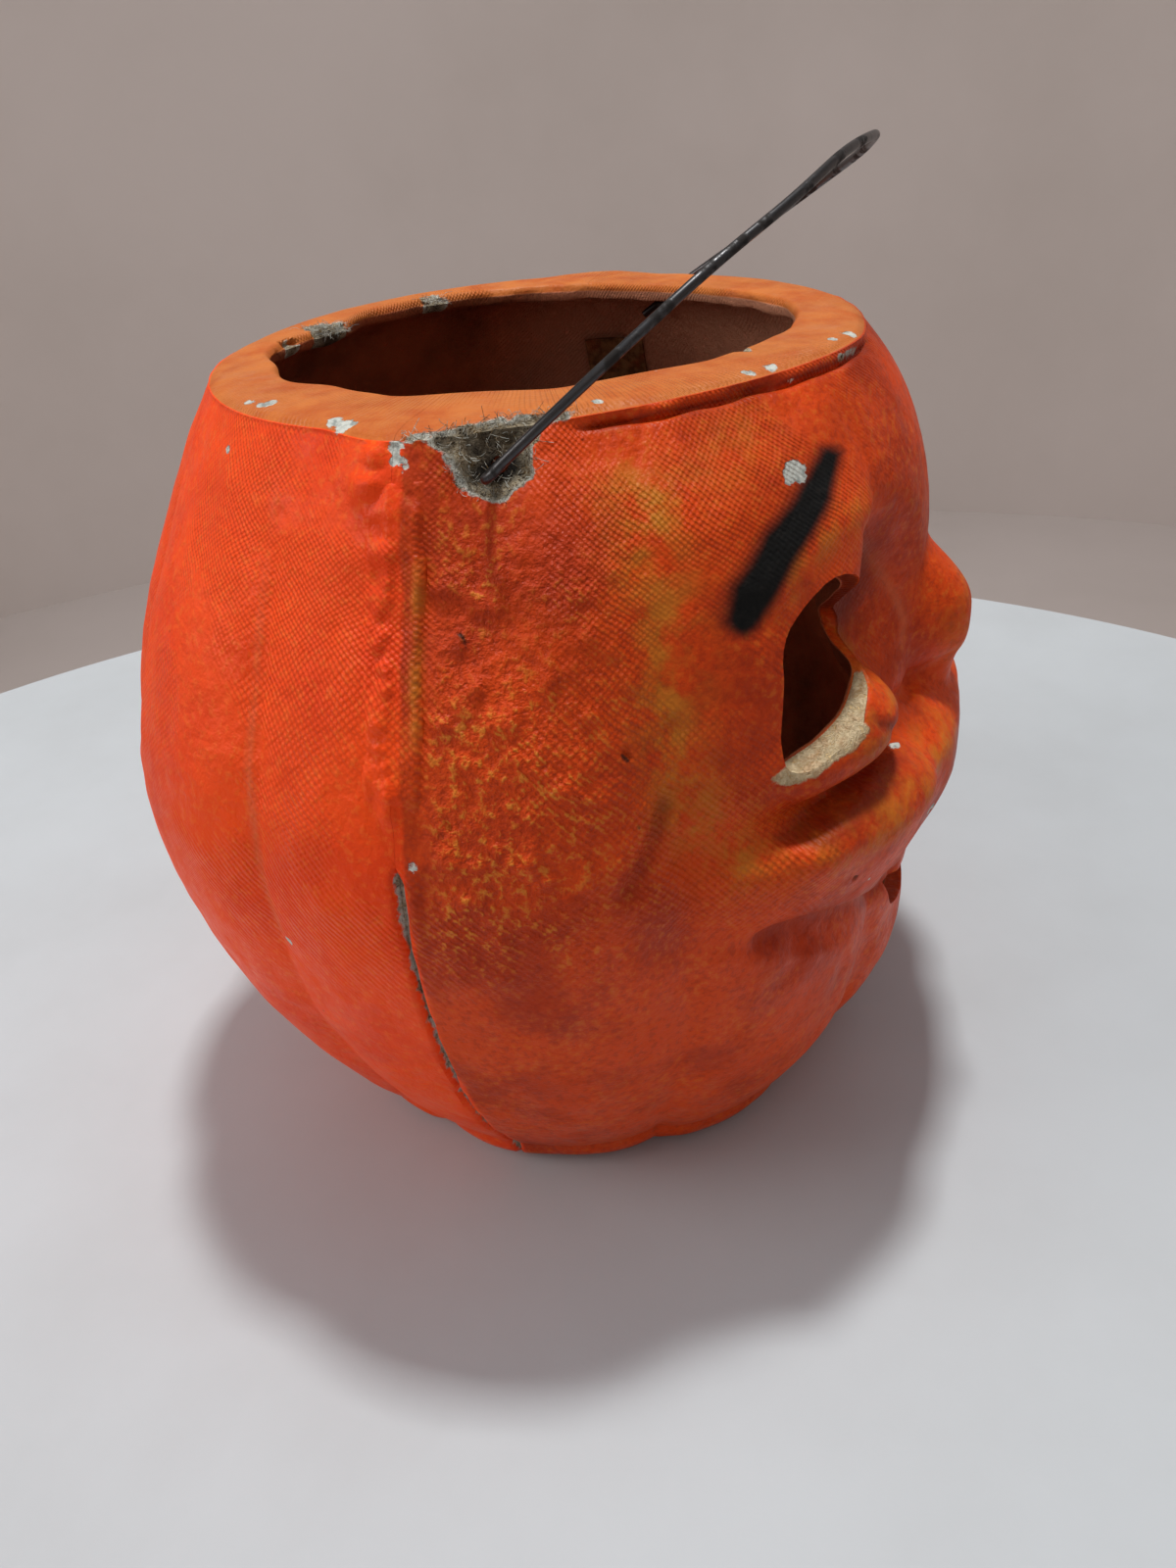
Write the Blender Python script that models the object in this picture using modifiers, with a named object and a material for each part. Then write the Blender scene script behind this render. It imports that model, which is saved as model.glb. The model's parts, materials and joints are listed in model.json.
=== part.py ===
"""Moulded pulp jack-o-lantern with a wire bail and a candle holder.

Metres, +Z up. The face looks along -Y. The lantern is pressed as a face half and a ribbed
rear half, which meet in an upright plane across X and are joined by paper tape.
"""

from math import acos, asin, atan2, cos, degrees, hypot, pi, radians, sin

import bmesh
import bpy
from mathutils import Matrix, Vector

# Body outline
BODY_HEIGHT = 0.136
BELLY_HEIGHT = 0.077
BELLY_HALF_WIDTH = 0.0784
BELLY_FRONT_DEPTH = 0.0650
BELLY_REAR_DEPTH = 0.0730
RIM_HALF_WIDTH = 0.0526
RIM_FRONT_DEPTH = 0.0517
RIM_REAR_DEPTH = 0.0480
FOOT_HALF_WIDTH = 0.0460
FOOT_FRONT_DEPTH = 0.0440
FOOT_REAR_DEPTH = 0.0414
FOOT_CORNER_HEIGHT = 0.007
FOOT_CORNER_INSET = 0.008
BASE_RING_WIDTH = 0.010
DIMPLE_RISE = 0.0024
DIMPLE_RAMP = 0.004

# Pulp and rim
WALL = 0.0030
LIP_THICKNESS = 0.0030
LIP_EDGE_RADIUS = 0.0010
RIM_EDGE_RADIUS = 0.0014
TOP_OPENING_HALF_WIDTH = 0.0385
TOP_OPENING_FRONT_DEPTH = 0.0420
TOP_OPENING_REAR_DEPTH = 0.0385
CORNER_FLARE = 0.0040
CORNER_FLARE_ANGLE = radians(14)
CORNER_FLARE_DROP = 0.024
RIM_PRESS = 0.0045
RIM_PRESS_BEARING = radians(44)
RIM_PRESS_ANGLE = radians(44)
RIM_PRESS_DROP = 0.016
SEAM_GAP = 0.0003

# Curve fullness of the outline, as exponents
LOWER_FULLNESS_SIDE = 2.0
UPPER_FULLNESS_SIDE = 1.55
LOWER_FULLNESS_FRONT = 4.0
UPPER_FULLNESS_FRONT = 4.3
FACE_SQUARENESS = 2.1
REAR_SQUARENESS = 2.0

# Ribs, by the bearing of their grooves from the face round to the back
GROOVE_BEARINGS = (24, 61, 108, 144, 180)
GROOVE_DEPTH = 0.0023
GROOVE_FADE_HEIGHT = 0.030

# Face, as heights and offsets in front view
FACE_DENT_HEIGHT = 0.086
FACE_DENT_DEPTH = 0.0022
FACE_DENT_HALF_WIDTH = 0.052
FACE_DENT_HALF_HEIGHT = 0.026
NOSE_HEIGHT = 0.0890
NOSE_REACH = 0.0094
NOSE_HALF_WIDTH = 0.0125
NOSE_RISE = 0.0150
NOSE_DROP = 0.0125
NOSE_BLUNTNESS = 1.4
SOCKET_OFFSET = 0.0240
SOCKET_HEIGHT = 0.1020
SOCKET_DEPTH = 0.0070
SOCKET_HALF_WIDTH = 0.0150
SOCKET_HALF_HEIGHT = 0.0170
PAD_OFFSET = 0.0420
PAD_HEIGHT = 0.0895
PAD_REACH = 0.0035
PAD_HALF_WIDTH = 0.0180
PAD_HALF_HEIGHT = 0.0065
CHEEK_CREST_HEIGHT = 0.0740
CHEEK_REACH = 0.0078
CHEEK_HALF_LENGTH = 0.0700
CHEEK_TOP_SPAN_MIDDLE = 0.0100
CHEEK_TOP_SPAN_SIDE = 0.0076
SMILE_LINE_DROP = 0.0280
SMILE_LINE_RISE = 0.0260
CREASE_DEPTH = 0.0028
CREASE_HALF_WIDTH = 0.0055
CREASE_OFFSET = 0.0480
CREASE_HALF_LENGTH = 0.0230
CHIN_HEIGHT = 0.025
CHIN_REACH = 0.0020
CHIN_HALF_WIDTH = 0.034
CHIN_HALF_HEIGHT = 0.015

# Cut-outs
EYE_CORNERS = ((0.0395, 0.1145), (0.0495, 0.1080), (0.0550, 0.0885), (0.0230, 0.0985))
EYE_CORNER_RADIUS = 0.0036
SMILE_HALF_WIDTH = 0.0195
SMILE_DROP = 0.0110
CUT_REACH = 0.050

# Paper tape
OUTER_TAPE_HALF_WIDTH = 0.0042
OUTER_TAPE_BOTTOM = 0.092
OUTER_TAPE_TOP_DROP = 0.006
INNER_TAPE_HALF_WIDTH = 0.0060
INNER_TAPE_TOP_DROP = 0.009
TAPE_THICKNESS = 0.0005
PAPER_CLEARANCE = 0.0004

# Wire bail
WIRE_RADIUS = 0.00065
WIRE_HOLE_CLEARANCE = 0.00035
HOLE_FORWARD = 0.0117
HOLE_DROP = 0.0052
BAIL_HALF_WIDTH = 0.0598
BAIL_RISE = 0.0510
BAIL_LEAN = radians(54)
BAIL_WARP = radians(4)
BAIL_BEND_RADIUS = 0.0018
HOOK_LENGTH = 0.0040
HOOK_INSET = 0.0024

# Candle holder
METAL_THICKNESS = 0.0005
TRAY_RADIUS = 0.0200
TRAY_EDGE_HEIGHT = 0.0030
TRAY_EDGE_RADIUS = 0.0012
CANDLE_RADIUS = 0.0100
CANDLE_CLEARANCE = 0.0003
SOCKET_CUP_HEIGHT = 0.0150
SOCKET_SLOT_WIDTH = 0.0020
SOCKET_SLOT_DEPTH = 0.0090
SOCKET_SLOT_COUNT = 4
RIVET_RADIUS = 0.0014
RIVET_HEAD_RADIUS = 0.0036
RIVET_HEAD_HEIGHT = 0.0014
RIVET_LEG_LENGTH = 0.0065
RIVET_LEG_WIDTH = 0.0024
RIVET_LEG_THICKNESS = 0.0006
METAL_CLEARANCE = 0.0003

# Mesh fineness
SMALL_MERGE = 0.000001
MODIFIER_MERGE = 0.00001
FRONT_ROWS = 27
REAR_ROWS = 15
FACE_COLUMN_ANGLE = radians(3.7)
REAR_COLUMN_ANGLE = radians(7)
SMILE_SIDES = 36
TAPE_COLUMNS = 4
TURN_STEPS = 24
WIRE_POINTS = 36
BEND_POINTS = 3

HALF_TURN = pi
QUARTER_TURN = pi / 2


def clear_scene():
    """Remove every object of the open file."""
    for item in list(bpy.data.objects):
        bpy.data.objects.remove(item, do_unlink=True)


def make_collection(name):
    """Return a new collection linked to the scene."""
    group = bpy.data.collections.new(name)
    bpy.context.scene.collection.children.link(group)
    return group


def make_material(name, colour, roughness, metallic=0.0):
    """Return a Principled material of one colour."""
    material = bpy.data.materials.new(name)
    material.use_nodes = True
    shader = material.node_tree.nodes["Principled BSDF"]
    shader.inputs["Base Color"].default_value = (*colour, 1.0)
    shader.inputs["Roughness"].default_value = roughness
    shader.inputs["Metallic"].default_value = metallic
    material.diffuse_color = (*colour, 1.0)
    return material


def dome(distance):
    """Height share of a round bump at a distance of so many radii from its middle."""
    if abs(distance) >= 1:
        return 0.0
    return (1 - distance * distance) ** 2


def ease(share):
    """Smooth step from 0 to 1."""
    share = min(max(share, 0.0), 1.0)
    return share * share * (3 - 2 * share)


def outline(height, foot, belly, rim, lower_fullness, upper_fullness):
    """Half width of the body at a height, in one direction."""
    if height < BELLY_HEIGHT:
        below = 1 - height / BELLY_HEIGHT
        return belly - (belly - foot) * below**lower_fullness
    above = (height - BELLY_HEIGHT) / (BODY_HEIGHT - BELLY_HEIGHT)
    return belly - (belly - rim) * above**upper_fullness


def oval(bearing, half_width, front_depth, rear_depth):
    """Radius of a plan outline at a bearing, measured from the face towards -X."""
    across = abs(sin(bearing))
    along = cos(bearing)
    depth = front_depth if along > 0 else rear_depth
    power = FACE_SQUARENESS if along > 0 else REAR_SQUARENESS
    return ((across / half_width) ** power + (abs(along) / depth) ** power) ** (-1 / power)


def groove(bearing, height):
    """Depth of the ribs' grooves under the crowns of the lobes."""
    turn = abs(degrees(bearing))
    edges = (-GROOVE_BEARINGS[0],) + GROOVE_BEARINGS
    for start, stop in zip(edges, edges[1:]):
        if start <= turn <= stop:
            crown = sin(HALF_TURN * (turn - start) / (stop - start))
            break
    fade = ease((BODY_HEIGHT - height) / GROOVE_FADE_HEIGHT)
    return GROOVE_DEPTH * fade * (1 - max(crown, 0.0)) ** 2


def flare(bearing, height):
    """Outward warp of the rim's corners at both ends of the seam."""
    climb = ease(1 - (BODY_HEIGHT - height) / CORNER_FLARE_DROP)
    return CORNER_FLARE * climb * dome((abs(bearing) - QUARTER_TURN) / CORNER_FLARE_ANGLE)


def press(bearing, height):
    """Inward dent of the rim over the brow on the -X side."""
    climb = ease(1 - (BODY_HEIGHT - height) / RIM_PRESS_DROP)
    return RIM_PRESS * climb * dome((bearing - RIM_PRESS_BEARING) / RIM_PRESS_ANGLE)


def wall_radius(bearing, height):
    """Radius of the outer wall at a bearing and height, without the face's features."""
    half_width = outline(
        height, FOOT_HALF_WIDTH, BELLY_HALF_WIDTH, RIM_HALF_WIDTH,
        LOWER_FULLNESS_SIDE, UPPER_FULLNESS_SIDE,
    )
    front_depth = outline(
        height, FOOT_FRONT_DEPTH, BELLY_FRONT_DEPTH, RIM_FRONT_DEPTH,
        LOWER_FULLNESS_FRONT, UPPER_FULLNESS_FRONT,
    )
    rear_depth = outline(
        height, FOOT_REAR_DEPTH, BELLY_REAR_DEPTH, RIM_REAR_DEPTH,
        LOWER_FULLNESS_SIDE, UPPER_FULLNESS_SIDE,
    )
    radius = oval(bearing, half_width, front_depth, rear_depth)
    return radius - groove(bearing, height) + flare(bearing, height) - press(bearing, height)


def bump(offset, height, middle_offset, middle_height, half_width, half_height):
    """Share of an oval bump's reach at a place in front view."""
    return dome(hypot((offset - middle_offset) / half_width, (height - middle_height) / half_height))


def smile_line(offset):
    """Height of the crease under the cheeks, at an offset from the middle."""
    rise = SMILE_LINE_RISE * (offset / CHEEK_HALF_LENGTH) ** 2
    return CHEEK_CREST_HEIGHT - SMILE_LINE_DROP + rise


def cheek_top_span(side):
    """Height from the cheeks' crest up to the crease over them."""
    widening = ease(1.5 * side / CHEEK_HALF_LENGTH)
    return CHEEK_TOP_SPAN_MIDDLE + (CHEEK_TOP_SPAN_SIDE - CHEEK_TOP_SPAN_MIDDLE) * widening


def cheek_relief(side, height):
    """How far the lip and cheeks stand out: steep above their crest, long below it."""
    top = cheek_top_span(side)
    line = smile_line(side)
    span = top if height > CHEEK_CREST_HEIGHT else CHEEK_CREST_HEIGHT - line
    fullness = dome((side / CHEEK_HALF_LENGTH) ** 3)
    relief = CHEEK_REACH * fullness * dome((height - CHEEK_CREST_HEIGHT) / span)
    window = dome((side - CREASE_OFFSET) / CREASE_HALF_LENGTH)
    for crease in (CHEEK_CREST_HEIGHT + top, line):
        relief -= CREASE_DEPTH * window * dome((height - crease) / CREASE_HALF_WIDTH)
    return relief


def face_relief(offset, height):
    """How far the face stands out along -Y at a place in front view."""
    side = abs(offset)
    relief = -FACE_DENT_DEPTH * bump(
        side, height, 0, FACE_DENT_HEIGHT, FACE_DENT_HALF_WIDTH, FACE_DENT_HALF_HEIGHT
    )
    nose_span = NOSE_RISE if height > NOSE_HEIGHT else NOSE_DROP
    nose_distance = hypot(side / NOSE_HALF_WIDTH, (height - NOSE_HEIGHT) / nose_span)
    relief += NOSE_REACH * dome(nose_distance**NOSE_BLUNTNESS)
    relief -= SOCKET_DEPTH * bump(
        side, height, SOCKET_OFFSET, SOCKET_HEIGHT, SOCKET_HALF_WIDTH, SOCKET_HALF_HEIGHT
    )
    relief += PAD_REACH * bump(side, height, PAD_OFFSET, PAD_HEIGHT, PAD_HALF_WIDTH, PAD_HALF_HEIGHT)
    relief += cheek_relief(side, height)
    relief += CHIN_REACH * bump(side, height, 0, CHIN_HEIGHT, CHIN_HALF_WIDTH, CHIN_HALF_HEIGHT)
    return relief


def base_edge(bearing):
    """Radius at which the flat of the base ends and the foot's corner begins."""
    return wall_radius(bearing, FOOT_CORNER_HEIGHT) - FOOT_CORNER_INSET


def outer_section(bearing, rows):
    """Outer side of the pulp at a bearing, from the middle of the base to under the lip."""
    edge = base_edge(bearing)
    ring = edge - BASE_RING_WIDTH
    points = [(0.0, DIMPLE_RISE), (ring - DIMPLE_RAMP, DIMPLE_RISE), (ring, 0.0), (edge, 0.0)]
    for step in (1, 2, 3):
        angle = QUARTER_TURN * step / 4
        height = FOOT_CORNER_HEIGHT * (1 - cos(angle))
        points.append((edge + FOOT_CORNER_INSET * sin(angle), height))
    top = BODY_HEIGHT - LIP_THICKNESS - LIP_EDGE_RADIUS
    for row in range(rows + 1):
        height = FOOT_CORNER_HEIGHT + (top - FOOT_CORNER_HEIGHT) * row / rows
        points.append((wall_radius(bearing, height), height))
    return points


def inner_section(outer):
    """Inner side of the pulp: the outer side moved in by the wall."""
    points = []
    last = len(outer) - 1
    for index, (radius, height) in enumerate(outer):
        before = outer[max(index - 1, 0)]
        after = outer[min(index + 1, last)]
        run = after[0] - before[0]
        climb = after[1] - before[1]
        length = hypot(run, climb)
        points.append((radius - WALL * climb / length, height + WALL * run / length))
    points[0] = (0.0, outer[0][1] + WALL)
    points[1] = (outer[1][0], outer[1][1] + WALL)
    points[-1] = (points[-1][0], BODY_HEIGHT - LIP_THICKNESS - LIP_EDGE_RADIUS)
    return points


def lip_section(bearing, inner_radius):
    """Rim edge, flat lip and its underside, at a bearing."""
    top = BODY_HEIGHT
    under = BODY_HEIGHT - LIP_THICKNESS
    rim = wall_radius(bearing, top)
    opening = oval(
        bearing, TOP_OPENING_HALF_WIDTH, TOP_OPENING_FRONT_DEPTH, TOP_OPENING_REAR_DEPTH
    )
    middle = (rim + opening) / 2
    return [
        (wall_radius(bearing, top - RIM_EDGE_RADIUS), top - RIM_EDGE_RADIUS),
        (rim - RIM_EDGE_RADIUS, top),
        (middle, top),
        (opening + LIP_EDGE_RADIUS, top),
        (opening, top - LIP_EDGE_RADIUS),
        (opening, under + LIP_EDGE_RADIUS),
        (opening + LIP_EDGE_RADIUS, under),
        (min(middle, inner_radius - LIP_EDGE_RADIUS), under),
        (inner_radius - LIP_EDGE_RADIUS / 2, under),
    ]


def pulp_loop(bearing, rows):
    """Whole cut face of the pulp at a bearing, as (point, point that gives its relief)."""
    outer = outer_section(bearing, rows)
    inner = inner_section(outer)
    lip = lip_section(bearing, inner[-1][0])
    loop = [(point, point) for point in outer]
    loop += [(point, point) for point in lip]
    loop += list(zip(reversed(inner), reversed(outer)))
    return loop


def place(bearing, section_point, relief_point):
    """Point in space of a section point, with the face's relief if it is in the front half."""
    radius, height = section_point
    offset = -radius * sin(bearing)
    depth = -radius * cos(bearing)
    if cos(bearing) > 0:
        depth -= face_relief(-relief_point[0] * sin(bearing), relief_point[1])
    return Vector((offset, depth, height))


def column_bearings(front):
    """Bearings of one half's columns, with one on every groove and on both seam edges."""
    stops = [turn for turn in GROOVE_BEARINGS if (turn < 90) == front]
    stops = [0] + stops + [90] if front else [90] + stops
    turns = [stops[0]]
    for start, stop in zip(stops, stops[1:]):
        spacing = FACE_COLUMN_ANGLE if front else REAR_COLUMN_ANGLE
        steps = max(1, round(radians(stop - start) / spacing))
        turns += [start + (stop - start) * step / steps for step in range(1, steps + 1)]
    if front:
        turns = [-turn for turn in reversed(turns[1:])] + turns
    else:
        turns += [360 - turn for turn in reversed(turns[:-1])]
    return [radians(turn) for turn in turns]


def signed(bearing):
    """The same bearing between minus and plus half a turn."""
    return bearing - 2 * HALF_TURN if bearing > HALF_TURN else bearing


def add_mesh(name, sheet, group, material):
    """Turn a bmesh into a linked, smooth-shaded object."""
    mesh = bpy.data.meshes.new(name)
    sheet.to_mesh(mesh)
    sheet.free()
    mesh.materials.append(material)
    mesh.shade_smooth()
    mesh.set_sharp_from_angle(angle=radians(40))
    item = bpy.data.objects.new(name, mesh)
    group.objects.link(item)
    return item


def grid_sheet(columns, rows, point_at):
    """Grid of so many cells, each corner moved to point_at(column, row)."""
    sheet = bmesh.new()
    bmesh.ops.create_grid(sheet, x_segments=columns, y_segments=rows, size=1.0)
    for corner in sheet.verts:
        column = round((corner.co.x + 1) / 2 * columns)
        row = round((corner.co.y + 1) / 2 * rows)
        corner.co = point_at(column, row)
    return sheet


def make_shell(name, front, rows, group, material):
    """One pressed half: its cut face swept round the half, and closed at the seam."""
    bearings = column_bearings(front)
    loops = [pulp_loop(signed(bearing), rows) for bearing in bearings]
    shift = Vector((0, -SEAM_GAP / 2 if front else SEAM_GAP / 2, 0))
    ends = (0, len(bearings) - 1)

    def point_at(column, row):
        point = place(signed(bearings[column]), *loops[column][row])
        if column in ends:
            point.y = 0
        return point + shift

    sheet = grid_sheet(len(bearings) - 1, len(loops[0]) - 1, point_at)
    bmesh.ops.remove_doubles(sheet, verts=sheet.verts, dist=SMALL_MERGE)
    bmesh.ops.dissolve_degenerate(sheet, edges=sheet.edges, dist=SMALL_MERGE)
    rims = [edge for edge in sheet.edges if edge.is_boundary]
    bmesh.ops.holes_fill(sheet, edges=rims, sides=0)
    bmesh.ops.recalc_face_normals(sheet, faces=sheet.faces)
    return add_mesh(name, sheet, group, material)


def cut(item, cutter):
    """Take a cutter's space out of an object."""
    modifier = item.modifiers.new(cutter.name, "BOOLEAN")
    modifier.operation = "DIFFERENCE"
    modifier.solver = "EXACT"
    modifier.object = cutter


def add_cutter(name, sheet, group):
    """Turn a bmesh into a hidden cutter."""
    mesh = bpy.data.meshes.new(name)
    sheet.to_mesh(mesh)
    sheet.free()
    cutter = bpy.data.objects.new(name, mesh)
    cutter.hide_render = True
    cutter.display_type = "WIRE"
    group.objects.link(cutter)
    return cutter


def push_out(sheet, step):
    """Extrude the whole flat sheet by a step, and close it."""
    made = bmesh.ops.extrude_face_region(sheet, geom=list(sheet.faces))
    moved = [item for item in made["geom"] if isinstance(item, bmesh.types.BMVert)]
    bmesh.ops.translate(sheet, verts=moved, vec=step)
    bmesh.ops.recalc_face_normals(sheet, faces=sheet.faces)


def make_eye_cutter(name, side, group):
    """Eye of straight sides and round corners, cut through along the face's draw."""
    sheet = bmesh.new()
    front = -BELLY_FRONT_DEPTH - NOSE_REACH
    corners = [sheet.verts.new((side * offset, front, height)) for offset, height in EYE_CORNERS]
    sheet.faces.new(corners)
    bmesh.ops.bevel(
        sheet, geom=corners, affect="VERTICES", offset=EYE_CORNER_RADIUS, segments=4, profile=0.5
    )
    push_out(sheet, Vector((0, CUT_REACH, 0)))
    return add_cutter(name, sheet, group)


def make_smile_cutter(group):
    """Crescent mouth along the smile line, cut through along the face's draw."""
    sheet = bmesh.new()
    bmesh.ops.create_circle(sheet, cap_ends=True, segments=SMILE_SIDES, radius=1.0)
    for corner in sheet.verts:
        offset = SMILE_HALF_WIDTH * corner.co.x
        height = smile_line(offset) + SMILE_DROP * min(corner.co.y, 0.0)
        corner.co = Vector((offset, -BELLY_FRONT_DEPTH - NOSE_REACH, height))
    push_out(sheet, Vector((0, CUT_REACH, 0)))
    return add_cutter("smile_cutter", sheet, group)


def make_rod_cutter(name, radius, length, place_at, along_x, group):
    """Round cutter through a place, along X or Z."""
    sheet = bmesh.new()
    turn = Matrix.Rotation(QUARTER_TURN, 4, "Y") if along_x else Matrix.Identity(4)
    bmesh.ops.create_cone(
        sheet, cap_ends=True, segments=16, radius1=radius, radius2=radius, depth=length,
        matrix=Matrix.Translation(place_at) @ turn,
    )
    return add_cutter(name, sheet, group)


def hole_place():
    """Middle of the line through both wire holes."""
    return Vector((0, -HOLE_FORWARD, BODY_HEIGHT - HOLE_DROP))


def wall_reach(depth_from_seam, height):
    """How far the outer wall lies from the middle plane, straight out along X."""
    reach = wall_radius(QUARTER_TURN, height)
    for _ in range(6):
        bearing = atan2(reach, depth_from_seam)
        reach = wall_radius(-bearing, height) * sin(bearing)
    return reach


def surface_point(side, depth, station, rows, inside, lift):
    """Point on the wall near a seam, at a distance in front of the seam and off the wall."""
    bearing = QUARTER_TURN
    for _ in range(4):
        outer = outer_section(side * bearing, rows)
        section = inner_section(outer) if inside else outer
        radius, height = section[station]
        bearing = acos(max(-1.0, min(1.0, depth / radius)))
    before = section[station - 1]
    after = section[min(station + 1, len(section) - 1)]
    run = after[0] - before[0]
    climb = after[1] - before[1]
    scale = (-lift if inside else lift) / hypot(run, climb)
    radius += climb * scale
    height -= run * scale
    return Vector((-side * radius * sin(bearing), -depth, height))


def solidify(item, thickness, outward):
    """Give an open sheet its thickness, to the side that its faces point to or from."""
    modifier = item.modifiers.new("thickness", "SOLIDIFY")
    modifier.thickness = thickness
    modifier.offset = 1 if outward else -1
    modifier.use_even_offset = True


def face_towards(sheet, goal_for):
    """Turn every face of an open sheet to look along goal_for(face centre)."""
    for face in sheet.faces:
        face.normal_update()
        if face.normal.dot(goal_for(face.calc_center_median())) < 0:
            face.normal_flip()


def across(column):
    """Share of a tape's half width at one of its columns, from its front edge to its rear one."""
    return 1 - column / (TAPE_COLUMNS / 2)


def make_outer_tape(name, side, group, material):
    """Paper strip over the seam, from under the rim to the middle of the body."""
    sample = outer_section(side * QUARTER_TURN, REAR_ROWS)
    top = BODY_HEIGHT - OUTER_TAPE_TOP_DROP
    stations = [
        index for index, (_, height) in enumerate(sample)
        if OUTER_TAPE_BOTTOM <= height <= top
    ]

    def point_at(column, row):
        depth = OUTER_TAPE_HALF_WIDTH * across(column)
        return surface_point(side, depth, stations[row], REAR_ROWS, False, PAPER_CLEARANCE)

    sheet = grid_sheet(TAPE_COLUMNS, len(stations) - 1, point_at)
    face_towards(sheet, lambda centre: Vector((centre.x, 0, 0)))
    item = add_mesh(name, sheet, group, material)
    solidify(item, TAPE_THICKNESS, True)
    return item


def make_inner_tape(group, material):
    """Paper tape inside the seam: down one wall, across the floor and up the other."""
    sample = inner_section(outer_section(QUARTER_TURN, REAR_ROWS))
    top = BODY_HEIGHT - LIP_THICKNESS - INNER_TAPE_TOP_DROP
    climb = [index for index, (_, height) in enumerate(sample) if index > 0 and height < top]
    path = [(1, index) for index in reversed(climb)] + [(0, 0)] + [(-1, index) for index in climb]

    def point_at(column, row):
        depth = INNER_TAPE_HALF_WIDTH * across(column)
        side, station = path[row]
        if side == 0:
            return Vector((0, -depth, DIMPLE_RISE + WALL + PAPER_CLEARANCE))
        return surface_point(side, depth, station, REAR_ROWS, True, PAPER_CLEARANCE)

    sheet = grid_sheet(TAPE_COLUMNS, len(path) - 1, point_at)
    face_towards(sheet, lambda centre: Vector((0, 0, BODY_HEIGHT)) - centre)
    item = add_mesh("inner_seam_tape", sheet, group, material)
    solidify(item, TAPE_THICKNESS, True)
    return item


def bend(start, corner, stop):
    """Points of a round bend of the wire at a corner."""
    into = (start - corner).normalized() * BAIL_BEND_RADIUS
    out = (stop - corner).normalized() * BAIL_BEND_RADIUS
    points = []
    for step in range(BEND_POINTS + 1):
        share = step / BEND_POINTS
        points.append(corner + into * (1 - share) ** 2 + out * share**2)
    return points


def bail_path():
    """Route of the wire in the upright bail's own frame, with its holes' line as X."""
    inner_wall = wall_reach(HOLE_FORWARD, BODY_HEIGHT - HOLE_DROP) - WALL
    hook = inner_wall - HOOK_INSET
    tip = Vector((-hook, 0, -HOOK_LENGTH))
    inside = Vector((-hook, 0, 0))
    outside = Vector((-BAIL_HALF_WIDTH, 0, 0))
    half = [tip]
    first = asin(2 * BAIL_BEND_RADIUS / BAIL_RISE)
    half += bend(tip, inside, outside)
    half += bend(inside, outside, outside + Vector((0, 0, BAIL_RISE)))
    arch = []
    for step in range(WIRE_POINTS + 1):
        turn = first + (HALF_TURN - 2 * first) * step / WIRE_POINTS
        across = -BAIL_HALF_WIDTH * cos(turn)
        rise = BAIL_RISE * sin(turn)
        warp = BAIL_WARP * across / BAIL_HALF_WIDTH
        arch.append(Vector((across, -rise * sin(warp), rise * cos(warp))))
    other = [Vector((-point.x, point.y, point.z)) for point in reversed(half)]
    return half + arch + other


def make_bail(group, material, parent):
    """Wire bail whose origin lies on the line through its holes."""
    curve = bpy.data.curves.new("bail_wire", "CURVE")
    curve.dimensions = "3D"
    curve.bevel_depth = WIRE_RADIUS
    curve.bevel_resolution = 2
    curve.use_fill_caps = True
    route = bail_path()
    spline = curve.splines.new("POLY")
    spline.points.add(len(route) - 1)
    for knot, point in zip(spline.points, route):
        knot.co = (*point, 1.0)
    curve.materials.append(material)
    item = bpy.data.objects.new("bail_wire", curve)
    group.objects.link(item)
    item.parent = parent
    item.rotation_euler = (BAIL_LEAN, 0, 0)
    return item


def make_turned(name, profile, group, material, base_height):
    """Turned piece: a profile down its outer side, swept about Z."""
    sheet = bmesh.new()
    corners = [sheet.verts.new((radius, 0, height)) for radius, height in profile]
    for first, second in zip(corners, corners[1:] + corners[:1]):
        sheet.edges.new((first, second))
    item = add_mesh(name, sheet, group, material)
    item.location.z = base_height
    screw = item.modifiers.new("turn", "SCREW")
    screw.steps = TURN_STEPS
    screw.render_steps = TURN_STEPS
    screw.use_merge_vertices = True
    screw.merge_threshold = MODIFIER_MERGE
    screw.use_smooth_shade = True
    return item


def tray_height():
    """Underside of the tray: on the tape that lies across the floor."""
    return DIMPLE_RISE + WALL + PAPER_CLEARANCE + TAPE_THICKNESS + METAL_CLEARANCE


def make_tray(group, material):
    """Tin dish with a turned-up edge and a hole for the rivet."""
    bore = RIVET_RADIUS + METAL_CLEARANCE
    profile = [
        (TRAY_RADIUS, TRAY_EDGE_HEIGHT),
        (TRAY_RADIUS, TRAY_EDGE_RADIUS),
        (TRAY_RADIUS - TRAY_EDGE_RADIUS, 0),
        (bore, 0),
        (bore, METAL_THICKNESS),
        (TRAY_RADIUS - TRAY_EDGE_RADIUS, METAL_THICKNESS),
        (TRAY_RADIUS - METAL_THICKNESS, TRAY_EDGE_RADIUS + METAL_THICKNESS / 2),
        (TRAY_RADIUS - METAL_THICKNESS, TRAY_EDGE_HEIGHT),
    ]
    return make_turned("candle_tray", profile, group, material, tray_height())


def cup_height():
    """Underside of the candle cup, on the tray."""
    return tray_height() + METAL_THICKNESS + METAL_CLEARANCE


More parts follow.
